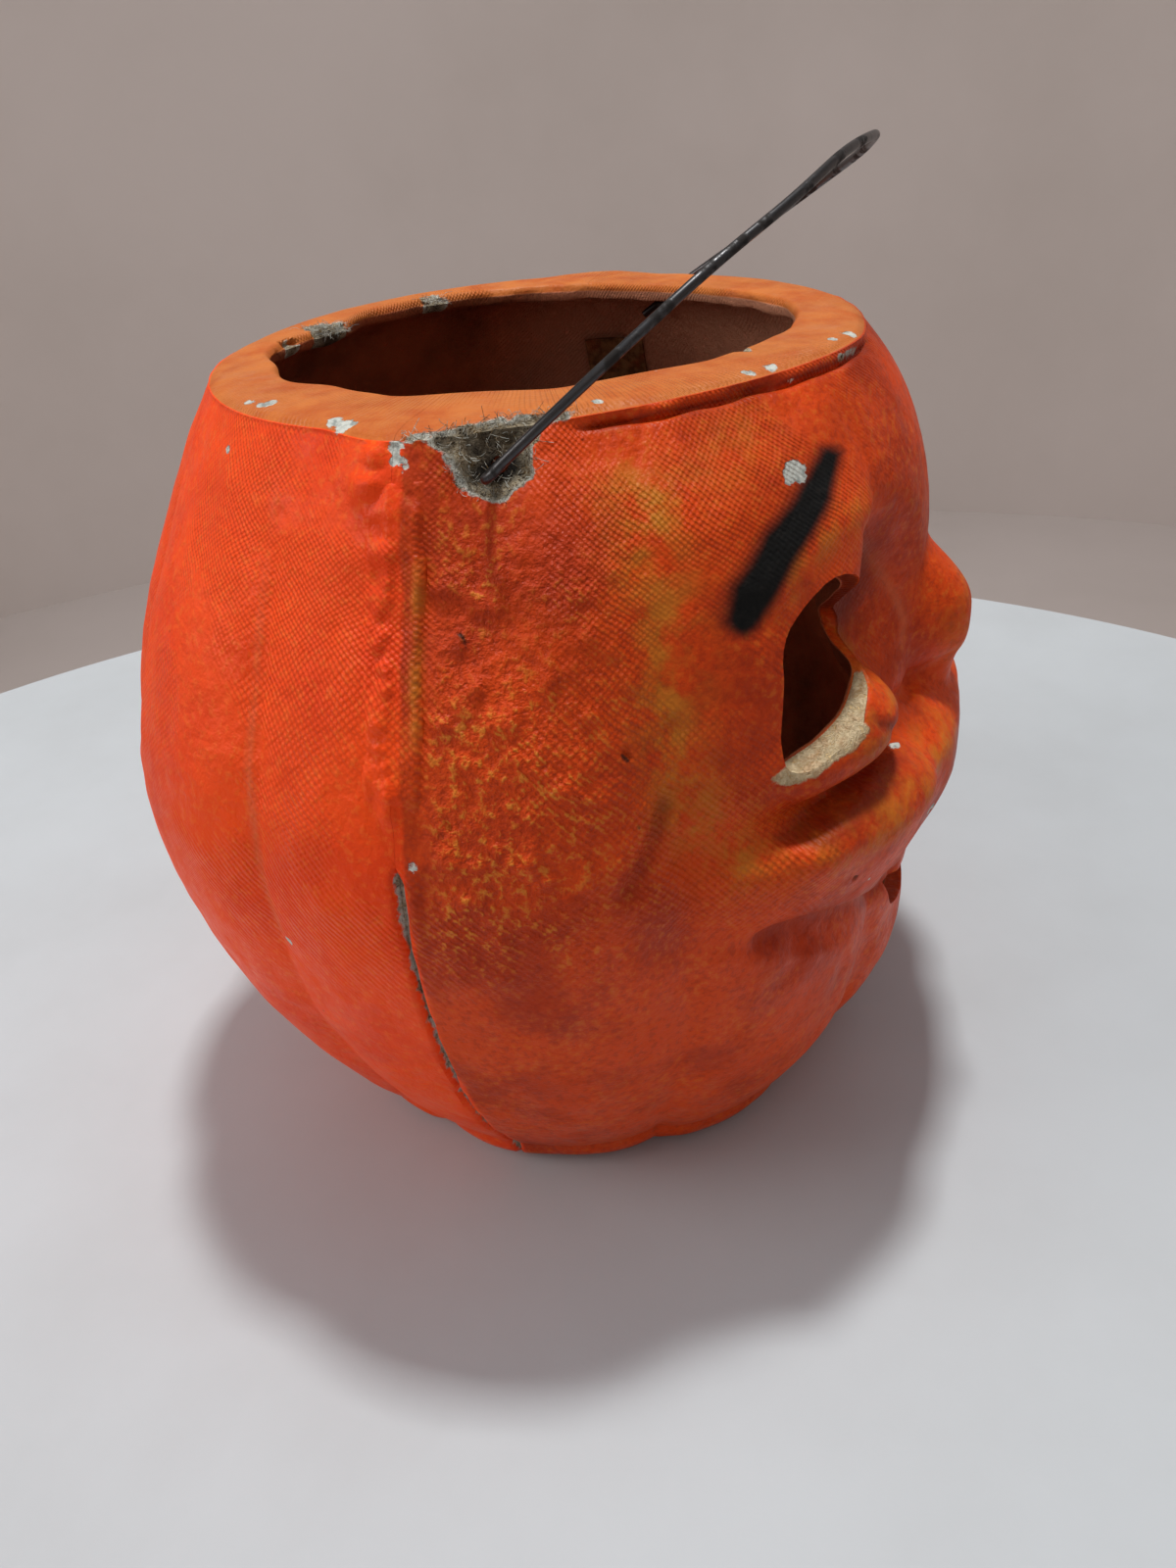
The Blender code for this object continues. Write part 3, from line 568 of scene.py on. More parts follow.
@dataclass
class ShellBuilder:
    """Builds one pressed half with its worn surface, its lip and its inner side.

    The shift is the place of the seam plane along Y, in metres. The steps are in degrees.
    """

    half: Half
    shift: float
    near_step: float = 0.52
    far_step: float = 1.05
    seam_steps: tuple[float, ...] = (0.0, 0.16, 0.36, 0.62, 0.95, 1.35)
    wall_rows: int = 150
    wall_end: float = 130.0
    rim_rows: int = 14
    rim_start: float = 130.3
    lip_rows: int = 20
    inner_stride: int = 5
    inner_lumps: Lumps = Lumps(4.0, 5, 0.45)
    hook_radius: float = 9.0
    hook_thinning: float = 0.9

    @property
    def front(self) -> bool:
        """Whether this is the front half."""
        return self.half is Half.FRONT

    def bearings(self) -> Array:
        """Bearings of the grid's columns, closest at the seams and on the near side.

        Returns:
            The bearings in radians.
        """
        seam = np.array(self.seam_steps)
        last = self.seam_steps[-1]
        near = np.concatenate([seam, np.arange(last + self.near_step, 90, self.near_step)])
        far = np.concatenate([seam, np.arange(last + self.far_step, 90, self.far_step)])
        if self.front:
            turns = np.concatenate([-90 + far, [0.0], (90 - near)[::-1]])
        else:
            turns = np.concatenate([90 + near, [180.0], (270 - far)[::-1]])
        return np.radians(turns)

    def section(self, bearing: Array) -> tuple[Array, Array, Array, Array, Array, Array]:
        """Outline of the pulp at each bearing.

        Args:
            bearing: Bearings of the columns.

        Returns:
            Radius, height, the radius and height that give the relief, and the shares of lip
            and of inner side, all as rows by columns.
        """
        form = FORM
        count = len(bearing)
        edge = form.wall_radius(bearing, np.full(count, form.corner_height)) - form.corner_inset
        ring = edge - form.ring_width
        radii: list[Array] = []
        heights: list[Array] = []

        def add(radius: Array, height: float) -> None:
            """Add a row of places at one height."""
            radii.append(radius + np.zeros(count))
            heights.append(np.full(count, float(height)))

        for share in np.linspace(0, 1, 6):
            add((ring - form.dimple_ramp) * share, form.dimple_rise)
        for share in (0.25, 0.5, 0.75):
            add(ring - form.dimple_ramp * (1 - share), form.dimple_rise * (1 - ease(share)))
        for share in np.linspace(0, 1, 5):
            add(ring + form.ring_width * share, 0.0)
        for angle in np.linspace(0, pi / 2, 9)[1:-1]:
            rise = form.corner_height * (1 - np.cos(angle))
            add(edge + form.corner_inset * np.sin(angle), rise)
        under_rim = form.top - form.rim_radius
        walls = np.concatenate([
            np.linspace(form.corner_height, self.wall_end, self.wall_rows),
            np.linspace(self.rim_start, under_rim, self.rim_rows),
        ])
        for height in walls:
            add(form.wall_radius(bearing, np.full(count, height)), height)
        outer_rows = len(radii)
        rim = form.wall_radius(bearing, np.full(count, form.top)) - form.rim_radius
        for angle in np.linspace(0, pi / 2, 7)[1:]:
            reach = rim + (radii[outer_rows - 1] - rim) * np.cos(angle)
            add(reach, under_rim + form.rim_radius * np.sin(angle))
        opening = form.opening_radius(bearing)
        for share in np.linspace(0, 1, self.lip_rows)[1:]:
            add(rim + (opening + form.lip_radius - rim) * share, form.top)
        for angle in np.linspace(0, pi, 9)[1:]:
            drop = 1.5 * (1 - np.cos(angle))
            add(opening + form.lip_radius * (1 - np.sin(angle)), form.top - drop)
        lip_end = len(radii)
        outer_r = np.array(radii[:outer_rows])
        outer_z = np.array(heights[:outer_rows])
        keep = outer_z[:, 0] <= form.top - 4
        chosen = np.flatnonzero(keep)[:: -self.inner_stride]
        run = np.gradient(outer_r, axis=0)[chosen]
        climb = np.gradient(outer_z, axis=0)[chosen]
        length = np.maximum(np.hypot(run, climb), 1e-9)
        inner_r = np.maximum(outer_r[chosen] - form.wall * climb / length, 0.0)
        inner_z = outer_z[chosen] + form.wall * run / length
        for share in (0.3, 0.65):
            under = radii[lip_end - 1] + (inner_r[0] - 0.5 - radii[lip_end - 1]) * share
            add(np.maximum(under, 0), form.top - 3)
        radius = np.vstack([radii, inner_r, np.zeros((1, count))])
        height = np.vstack([heights, inner_z, inner_z[-1:]])
        relief_r = np.vstack([radii, outer_r[chosen], np.zeros((1, count))])
        relief_z = np.vstack([heights, outer_z[chosen], np.zeros((1, count))])
        rows = np.arange(len(radius))[:, None] + np.zeros((1, count))
        lip = ((rows >= outer_rows + 1) & (rows < lip_end)).astype(float)
        inside = (rows >= lip_end - 5).astype(float)
        return radius, height, relief_r, relief_z, lip, inside

    def sheet(self) -> Sheet:
        """The half's surface before its holes are opened.

        Returns:
            The worn surface, its bottom flat and its edges on the seam.
        """
        bearing = self.bearings()
        radius, height, relief_r, relief_z, lip, inside = self.section(bearing)
        x = -radius * np.sin(bearing)
        y = -radius * np.cos(bearing)
        if self.front:
            y = y - FORM.relief(-relief_r * np.sin(bearing), relief_z)
        rim = FORM.wall_radius(bearing, np.full(len(bearing), FORM.top))
        unfolded = np.where(lip > 0, FORM.top + np.clip(rim - radius, 0, None), height)
        sheet = Sheet(np.stack([x, y, height], axis=2), bearing, unfolded, lip, inside)
        self.wear(sheet)
        side = -1 if self.front else 1
        sheet.place[..., 1] = side * np.maximum(side * sheet.place[..., 1], 0.0)
        sheet.place[:, [0, -1], 1] = 0.0
        sheet.place[..., 1] += side * SEAM_GAP
        sheet.place[..., 2] = np.maximum(sheet.place[..., 2], 0.0)
        return sheet

    def wear(self, sheet: Sheet) -> None:
        """Press lumps, creases, tears and chips into the surface.

        Args:
            sheet: The surface, changed in place.
        """
        surface = Surface(sheet)
        shape = sheet.lip.shape
        outside = 1 - sheet.inside
        wall = outside * (1 - sheet.lip)
        push = surface.lumps(self.front).reshape(shape) * (wall + 0.4 * sheet.lip * outside)
        push += sheet.inside * self.inner_relief(sheet.flat).reshape(shape)
        push += wall * surface.rim_crevice().reshape(shape)
        push += outside * surface.tears().reshape(shape)
        sag = 0.3 * ease((sheet.unfolded - FORM.top) / 4) - 0.3
        push += sheet.lip * outside * sag
        push *= ease((sheet.place[..., 2] + 0.6) / 3)
        sheet.place += sheet.normals() * push[..., None]

    def inner_relief(self, points: Array) -> Array:
        """Lumps of the inner side, thinned where the wire's hooks lie.

        Args:
            points: Places, one row each.

        Returns:
            The reach at each place.
        """
        folded = points * np.array([-1.0, 1.0, 1.0]) ** (points[:, :1] > 0)
        clear = dome(np.linalg.norm(folded - np.array(HOOK_ROOM), axis=1) / self.hook_radius)
        return self.inner_lumps.at(points) * (1 - clear) - self.hook_thinning * clear

    def build(self) -> bpy.types.Object:
        """Make the half's object.

        Returns:
            The finished piece, in the row frame.
        """
        mesh = sheet_mesh(self.half.value + "_pulp", self.sheet())
        HoleOpener(mesh, self.half).open()
        add_weave_map(mesh)
        to_frame(mesh, self.shift)
        mesh.shade_smooth()
        mesh.set_sharp_from_angle(angle=SHARP_ANGLE)
        return link(bpy.data.objects.new(mesh.name, mesh))


def paste_lumps(points: Array) -> Array:
    """Reach of the paint blisters and paste lumps beside the near seam.

    Args:
        points: Places, one row each.

    Returns:
        The reach at each place.
    """
    rng = np.random.default_rng(11)
    total = np.zeros(len(points))
    lumps = list(MARKS.blisters)
    for height in np.arange(92, 125, 2.2):
        radius = FORM.wall_radius(np.array([pi / 2]), np.array([height]))[0]
        side = 1.1 + rng.uniform(-0.6, 0.9)
        lumps.append((-radius, side, height + rng.uniform(-1, 1), rng.uniform(0.8, 1.5), 0.6))
    for x, y, z, size, reach in lumps:
        distance = np.linalg.norm(points - np.array([x, y, z]), axis=1)
        total += reach * dome(distance / (size * 1.6))
    return total


@dataclass(frozen=True)
class Surface:
    """Fields over a sheet, one value for each place, in millimetres unless they are shares."""

    sheet: Sheet
    near_wall: float = -30.0
    nowhere: float = -9.0
    skin: tuple[Lumps, ...] = (*SKIN, Lumps(2.6, 3, 0.07))
    coarse_pimples: Lumps = Lumps(2.2, 4)
    fine_pimples: Lumps = Lumps(1.2, 6)
    crevice_height: float = 133.7
    crevice_wobble: Lumps = Lumps(5.0, 21, 0.35)
    crevice_span: tuple[Pair, Pair] = ((0, 8), (63, 69))
    crack_width: Lumps = Lumps(3.0, 31, 0.26)
    crack_path: Lumps = Lumps(9.0, 32, 0.35)
    patch_rag: Lumps = Lumps(1.1, 41, 0.35)
    patch_depth: Lumps = Lumps(1.3, 43, 0.45)
    notch_rag: Lumps = Lumps(1.6, 42, 0.8)
    notch_depth: Lumps = Lumps(1.5, 44)

    @property
    def points(self) -> Array:
        """Places as rows."""
        return self.sheet.flat

    @property
    def unfolded(self) -> Array:
        """Height of each place with the lip folded up."""
        return self.sheet.unfolded.ravel()

    @property
    def outer(self) -> Array:
        """Which places lie on the outer side."""
        return self.sheet.inside.ravel() < 0.5

    @property
    def turn(self) -> Array:
        """Bearing of each place, in degrees."""
        return np.degrees(np.broadcast_to(self.sheet.bearing, self.sheet.lip.shape)).ravel()

    def ahead(self, start: float, full: float) -> Array:
        """Share of the face, from where it starts to where it is full."""
        return ease((-self.points[:, 1] - start) / (full - start))

    def pimples(self) -> Array:
        """Pimply skin beside the near seam.

        Returns:
            Its share.
        """
        points = self.points
        height = window(points[:, 2], (60, 78), (117, 131))
        depth = window(-points[:, 1], (3, 7), (16, 38))
        return height * depth * (points[:, 0] < 0)

    def lumps(self, front: bool) -> Array:
        """Lumps, pimples and folds of the skin.

        Args:
            front: Whether the sheet is the front half.

        Returns:
            The reach.
        """
        points = self.points
        push = sum(lump.at(points) for lump in self.skin)
        push += self.pimples() * 1.1 * np.clip(self.coarse_pimples.at(points) - 0.12, 0, 1)
        push += self.pimples() * 0.35 * np.clip(self.fine_pimples.at(points), 0, 1)
        if not front:
            return push + paste_lumps(points)
        folds = strokes(mirror_front(points), MARKS.folds) * self.ahead(22, 30)
        return push + (folds + MARKS.dent.at(points) + paste_lumps(points))

    def rim_crevice(self) -> Array:
        """Crevice under the lip's edge along the near side of the front.

        Returns:
            The reach.
        """
        above = self.points[:, 2] - (self.crevice_height + self.crevice_wobble.at(self.points))
        cut = -1.0 * np.exp(-(above / 0.38) ** 2)
        roll = 0.35 * np.exp(-((above - 1.0) / 0.6) ** 2)
        return (cut + roll) * window(self.turn, *self.crevice_span)

    def crack(self) -> Array:
        """Open seam below the outer tape.

        Returns:
            The depth inside it.
        """
        points = self.points
        below = window(points[:, 2], (-1, 2), (CRACK_TOP - 6, CRACK_TOP))
        width = 0.16 + self.crack_width.at(points) + 0.14 * dome((points[:, 2] - 79) / 10)
        near = np.where(points[:, 0] < 0, 1.0, 0.6)
        middle = self.crack_path.at(points * np.array([0, 0, 1.0]))
        return (width + 0.25) * below * near - np.abs(points[:, 1] - middle) - (1 - below) * 3

    def patch(self) -> Array:
        """Torn patch round the near hole.

        Returns:
            The depth inside it.
        """
        depth = ring_depth(np.column_stack([self.points[:, 1], self.unfolded]), MARKS.patch)
        depth = depth + self.patch_rag.at(self.points)
        return np.where((self.points[:, 0] < self.near_wall) & self.outer, depth, self.nowhere)

    def line(self) -> Array:
        """Share of the thin pale lines along the near rib and the nose."""
        nose = MARKS.nose_line.at(mirror_front(self.points))
        return MARKS.rib.at(self.points) + nose * self.ahead(30, 38)

    def pit(self) -> Array:
        """Long pit that the wire has scraped round the near hole, dark with painted shade.

        Returns:
            Its share.
        """
        y = self.points[:, 1] - MARKS.hole[0] - 0.2
        z = self.unfolded - MARKS.hole[1] - 0.25 + 0.12 * y
        away = (y / 3.9) ** 2 + (z / 1.7) ** 2
        return np.exp(-away) * (self.points[:, 0] < self.near_wall) * self.outer

    def notch(self) -> Array:
        """Bare notches of the opening's edge.

        Returns:
            The depth inside them.
        """
        points = self.points
        total = np.full(len(points), self.nowhere)
        for x, y, size in MARKS.notches:
            distance = np.hypot(points[:, 0] - x, points[:, 1] - y)
            total = np.maximum(total, size - distance + self.notch_rag.at(points))
        at_edge = (self.unfolded > 140) | ~self.outer
        return np.where(at_edge & (points[:, 2] > 125), total, self.nowhere)

    def torn(self) -> Array:
        """All grey, broken pulp.

        Returns:
            The depth inside it.
        """
        depth = np.maximum(np.maximum(self.patch(), self.notch()), self.crack())
        span = window(self.turn, (2, 11), (16, 24))
        rim = 0.25 - np.abs(self.unfolded - 134.2) - (1 - span) * 4
        return np.clip(np.maximum(depth, rim), -OFFSET, OFFSET)

    def tears(self) -> Array:
        """Torn places, chips and pinholes below the skin.

        Returns:
            The reach.
        """
        points = self.points
        depth = self.patch()
        total = -(0.9 + self.patch_depth.at(points)) * ease(depth / 0.8)
        total -= 0.4 * self.pit() * (depth > -1)
        total -= 1.3 * ease((self.crack() + 0.5) / 0.8)
        lip = dome((points[:, 1] + 2.3) / 1.1) * dome((points[:, 2] - 79) / 9)
        total += 0.5 * lip * (points[:, 0] < 0)
        total -= 0.22 * ease(self.spots(MARKS.chips) / 0.6)
        total -= 0.8 * ease(self.spots(MARKS.pinholes) / 0.4)
        total -= 1.5 * ease((self.notch() + 0.4) / 1.6) * (1 + self.notch_depth.at(points))
        return total

    def brow(self) -> Array:
        """Painted eyebrows.

        Returns:
            The depth inside them.
        """
        points = self.points
        folded = np.column_stack([-np.abs(points[:, 0]), points[:, 2]])
        depth = np.clip(ring_depth(folded, MARKS.brow) + 0.35, -OFFSET, OFFSET)
        return np.where(points[:, 1] < -20, depth, -OFFSET)

    def spots(self, spots: tuple[Spot, ...]) -> Array:
        """Chipped or pricked spots.

        Args:
            spots: Place and radius of each.

        Returns:
            The depth inside them.
        """
        points = self.points
        total = np.full(len(points), -OFFSET)
        for x, y, z, size in spots:
            near = np.flatnonzero(np.abs(points - np.array([x, y, z])).max(axis=1) < size + 5)
            distance = np.linalg.norm(points[near] - np.array([x, y, z]), axis=1)
            total[near] = np.maximum(total[near], size - distance)
        return total

    def worn_and_lit(self) -> Array:
        """Yellowish, scuffed paint, with painted highlights on the cheek rolls, the brow ridges,
        the pads under the eyes and a band over the near brow.

        Returns:
            Its share.
        """
        points = self.points
        total = strokes(points, MARKS.rubbed_and_lit)
        total += self.ahead(25, 35) * strokes(mirror_front(points), MARKS.rubbed_and_lit_face)
        seam = np.exp(-((points[:, 1] + 3.3) / 0.7) ** 2)
        seam *= window(points[:, 2], (99, 103), (119, 124))
        total += 0.8 * seam * (points[:, 0] < 0)
        nose = np.linalg.norm(points - np.array(MARKS.nose_tip), axis=1)
        return total + 0.8 * np.exp(-(nose / 7.0) ** 2)

    def shade(self) -> Array:
        """Painted shade in the creases, the nose side of the eye sockets, the dent and the crevice
        under the lip.

        Returns:
            Their share.
        """
        flat = mirror_front(self.points)
        total = strokes(flat, MARKS.shaded_creases)
        # Painted shade in the nose side of each eye socket.
        total += 1.3 * dome(np.hypot((flat[:, 0] - 26) / 14, (flat[:, 1] - 104) / 13))
        total *= self.ahead(22, 30)
        turn = np.degrees(np.arctan2(-self.points[:, 0], -self.points[:, 1]))
        # Painted shade in the crevice under the lip's edge.
        rim = np.exp(-((self.points[:, 2] - self.crevice_height) / 0.5) ** 2)
        rim *= window(turn, *self.crevice_span)
        return total + 0.9 * rim + MARKS.dent_shade.at(self.points)

    def ledge(self) -> Array:
        """Bare, cream edges of the eyes.

        Returns:
            The depth inside them.
        """
        depth = 1.2 - line_distance(mirror_front(self.points), MARKS.ledge)
        depth = np.clip(depth, -OFFSET, OFFSET)
        return np.where((self.points[:, 1] < -20) & self.outer, depth, -OFFSET)


@dataclass
class HoleOpener:
    """Cuts the eyes, the mouth and the wire's holes through a half's sheet, in millimetres."""

    mesh: bpy.types.Mesh
    half: Half
    wall_cuts: int = 4
    corner_steps: int = 6
    smile_steps: int = 19
    hole_radius: float = 1.1
    hole_corners: int = 12
    weld: float = 0.0005
    form: bmesh.types.BMesh = field(default_factory=bmesh.new)

    def open(self) -> None:
        """Cut all of the half's holes, close its seam and write the mesh back."""
        form = self.form
        form.from_mesh(self.mesh)
        bmesh.ops.remove_doubles(form, verts=form.verts, dist=self.weld)
        bmesh.ops.dissolve_degenerate(form, edges=form.edges, dist=self.weld)
        seam = [edge for edge in form.edges if edge.is_boundary]
        bmesh.ops.holes_fill(form, edges=seam, sides=0)
        if self.half is Half.FRONT:
            for side in (-1, 1):
                self.cut([self.eye(side)], 0)
                self.cut([self.wire_hole()], side)
            self.cut(self.smile(), 0)
        bmesh.ops.recalc_face_normals(form, faces=form.faces)
        form.to_mesh(self.mesh)
        form.free()

    def eye(self, side: int) -> list[Pair]:
        """Outline of one eye with its rounded corners.

        Args:
            side: -1 for the near eye and 1 for the far one.

        Returns:
            Corners in front view, in order.
        """
        corners = [np.array(corner) for corner in EYE]
        outline = []
        for index, corner in enumerate(corners):
            before = corners[index - 1] - corner
            after = corners[(index + 1) % len(corners)] - corner
            start = corner + before / np.linalg.norm(before) * EYE_ROUNDING[index]
            stop = corner + after / np.linalg.norm(after) * EYE_ROUNDING[index]
            for share in np.linspace(0, 1, self.corner_steps):
                rest = 1 - share
                outline.append(start * rest**2 + corner * 2 * share * rest + stop * share**2)
        return [(side * x, z) for x, z in outline]

    def smile(self) -> list[list[Pair]]:
        """Outline of the mouth.

        Returns:
            Outlines of the upright strips that it is made of.
        """
        stops = SMILE_HALF_WIDTH * np.sin(np.linspace(-pi / 2, pi / 2, self.smile_steps))
        strips = []
        for left, right in zip(stops, stops[1:]):
            ends = np.array([left, right])
            top = FORM.smile_line(ends)
            low = top - SMILE_OPEN * np.sqrt(np.clip(1 - (ends / SMILE_HALF_WIDTH) ** 2, 0, 1))
            strips.append([(left, low[0]), (left, top[0]), (right, top[1]), (right, low[1])])
        return strips

    def cut(self, cells: list[list[Pair]], side: int) -> None:
        """Cut convex cells straight through a wall, and wall the hole.

        Args:
            cells: Outlines, in front view, or in side view for a wire's hole.
            side: 0 for a hole through the face, else the wall's sign along X.
        """
        form = self.form
        before = {edge for edge in form.edges if edge.is_boundary}
        for cell in cells:
            self.clip(cell, side)
        rims = [edge for edge in form.edges if edge.is_boundary and edge not in before]
        made = bmesh.ops.bridge_loops(form, edges=rims)
        walls = set(made["faces"])
        cross = [edge for edge in made["edges"] if all(face in walls for face in edge.link_faces)]
        done = bmesh.ops.subdivide_edges(form, edges=cross, cuts=self.wall_cuts, use_grid_fill=True)
        layers = form.verts.layers.float
        depth = layers["bare"] if side == 0 else layers["torn"]
        for vert in {item for item in done["geom_inner"] if isinstance(item, bmesh.types.BMVert)}:
            vert[depth] = OFFSET + (3.0 if side else self.bareness(vert.co))
            vert[layers["inside"]] = 0.0
            # Painted shade on the eyes' nose-side walls and on the mouth's wall.
            vert[layers["shade"]] = 0.0 if side else self.wall_shade(vert.co)

    def clip(self, cell: list[Pair], side: int) -> None:
        """Remove one convex cell from every layer of a wall.

        Args:
            cell: Outline of the cell.
            side: 0 for a hole through the face, else the wall's sign along X.
        """
        form = self.form
        corners = [Vector((u, 0, z)) if side == 0 else Vector((0, u, z)) for u, z in cell]
        middle = sum(corners, Vector()) / len(corners)
        flat = Vector((1, 0, 1)) if side == 0 else Vector((0, 1, 1))
        reach = max((corner - middle).length for corner in corners) + 5.5
        inner = []
        for face in form.faces:
            place = face.calc_center_median()
            ahead = place.y < -20 if side == 0 else place.x * side > 30
            gap = (place - middle) * flat
            if ahead and max(abs(gap.x), abs(gap.y), abs(gap.z)) < reach:
                inner.append(face)
        for start, stop in zip(corners, corners[1:] + corners[:1]):
            run = stop - start
            if run.length < 1e-3:
                continue
            normal = Vector((run.z, 0, -run.x)) if side == 0 else Vector((0, run.z, -run.y))
            if normal.dot(middle - start) > 0:
                normal.negate()
            parts = set(inner)
            parts.update(edge for face in inner for edge in face.edges)
            parts.update(vert for face in inner for vert in face.verts)
            done = bmesh.ops.bisect_plane(
                form, geom=list(parts), dist=0.0002, plane_co=start, plane_no=normal.normalized()
            )
            faces = [item for item in done["geom"] if isinstance(item, bmesh.types.BMFace)]
            inner = [face for face in faces if (face.calc_center_median() - start).dot(normal) < 0]
        bmesh.ops.delete(form, geom=inner, context="FACES")

    @staticmethod
    def bareness(place: Vector) -> float:
        """How deep a place on a hole's wall lies in bare pulp.

        Args:
            place: The place.

        Returns:
            The depth: high on the eyes' lower ledges, fading towards the nose.
        """
        offset = abs(place.x)
        ledge = EYE[2][1] + (EYE[3][1] - EYE[2][1]) * (EYE[2][0] - offset) / (EYE[2][0] - EYE[3][0])
        if place.z < 60:
            return -1.0
        return min(2.5, (ledge + 2.6 - place.z) * 1.5, (offset - 34.0) * 0.35)

    @staticmethod
    def wall_shade(place: Vector) -> float:
        """Share of the painted shade at a place on an eye's or the mouth's wall.

        Args:
            place: The place.

        Returns:
            The share: full on the eyes' nose side, none on their lower ledges.
        """
        if place.z < 60:
            return 0.5
        above = place.z - 99.5
        return 1.1 * float(ease(np.array(above / 3.0)))

    def wire_hole(self) -> list[Pair]:
        """Outline of the wire's hole.

        Returns:
            Corners in side view, in order.
        """
        y, z = MARKS.hole
        size = self.hole_radius
        turns = np.linspace(0, 2 * pi, self.hole_corners + 1)[:-1]
        return [(y + size * np.cos(turn), z + size * np.sin(turn)) for turn in turns]


def vertex_places(mesh: bpy.types.Mesh) -> Array:
    """Places of a mesh's vertices.

    Args:
        mesh: The mesh.

    Returns:
        The places, one row each.
    """
    spots = np.zeros(len(mesh.vertices) * 3)
    mesh.vertices.foreach_get("co", spots)
    return spots.reshape(-1, 3)


def sheet_mesh(name: str, sheet: Sheet) -> bpy.types.Mesh:
    """Mesh of a sheet, with the fields that the painted pulp reads.

    Args:
        name: Name of the mesh.
        sheet: The sheet.

    Returns:
        The mesh, in millimetres.
    """
    rows, columns = sheet.lip.shape
    form = bmesh.new()
    bmesh.ops.create_grid(form, x_segments=columns - 1, y_segments=rows - 1, size=1.0)
    mesh = bpy.data.meshes.new(name)
    form.to_mesh(mesh)
    form.free()
    spots = vertex_places(mesh)
    column = np.rint((spots[:, 0] + 1) / 2 * (columns - 1)).astype(int)
    row = np.rint((spots[:, 1] + 1) / 2 * (rows - 1)).astype(int)
    mesh.vertices.foreach_set("co", sheet.place[row, column].ravel())
    surface = Surface(sheet)
    fields = {
        "lip": sheet.lip.ravel(),
        "inside": sheet.inside.ravel(),
        "brow": OFFSET + surface.brow(),
        "chip": OFFSET + surface.spots(MARKS.chips),
        "pinhole": OFFSET + surface.spots(MARKS.pinholes),
        "torn": OFFSET + surface.torn(),
        "bare": OFFSET + surface.ledge(),
        "worn_and_lit": surface.worn_and_lit(),
        "shade": surface.shade(),
        "pimple": surface.pimples(),
        "pit": surface.pit(),
        "line": surface.line(),
    }
    for label, values in fields.items():
        attribute = mesh.attributes.new(label, "FLOAT", "POINT")
        grid = values.reshape(rows, columns)
        attribute.data.foreach_set("value", grid[row, column].astype(np.float32))
    return mesh


def to_frame(mesh: bpy.types.Mesh, shift: float) -> None:
    """Move a mesh from millimetres round the seam plane to the part's frame."""
    mesh.transform(Matrix.Translation((0, shift, 0)) @ Matrix.Scale(MM, 4))


def tube_mesh(
    name: str, radius: float, resolution: int, routes: list[list[Vector]]
) -> bpy.types.Mesh:
    """Mesh of round tubes with closed ends.

    Args:
        name: Name of the mesh.
        radius: Radius of the tubes.
        resolution: Bevel resolution of their section.
        routes: Points of each tube's middle line.

    Returns:
        The mesh.
    """
    curve = bpy.data.curves.new(name, "CURVE")
    curve.dimensions = "3D"
    curve.bevel_depth = radius
    curve.bevel_resolution = resolution
    curve.use_fill_caps = True
    for route in routes:
        spline = curve.splines.new("POLY")
        spline.points.add(len(route) - 1)
        for knot, point in zip(spline.points, route):
            knot.co = (*point, 1.0)
    source = link(bpy.data.objects.new(name, curve))
    mesh = bpy.data.meshes.new_from_object(source)
    bpy.data.objects.remove(source)
    return mesh


def add_weave_map(mesh: bpy.types.Mesh) -> None:
    """Lay a map in metres over a body mesh, along the bearing and the height.

    Args:
        mesh: Mesh in millimetres.
    """
    spots = vertex_places(mesh)
    corners = np.zeros(len(mesh.loops), np.int32)
    mesh.loops.foreach_get("vertex_index", corners)
    bearing = np.arctan2(-spots[:, 0], -spots[:, 1])
    bearing = np.where(spots[:, 1] > 0, np.mod(bearing, 2 * pi), bearing)
    low = np.clip((70 - spots[:, 2]) / 70, 0, 1)
    across = bearing * 66.0
    up = spots[:, 2] * (1 + 0.25 * low) + 0.35 * np.clip(spots[:, 2] - 110, 0, None)
    layer = mesh.uv_layers.new(name="weave")
    uv = np.column_stack([across, up])[corners] * MM
    layer.data.foreach_set("uv", uv.ravel())


def link(item: bpy.types.Object) -> bpy.types.Object:
    """Put an object in the scene and hand it back."""
    bpy.context.scene.collection.objects.link(item)
    return item


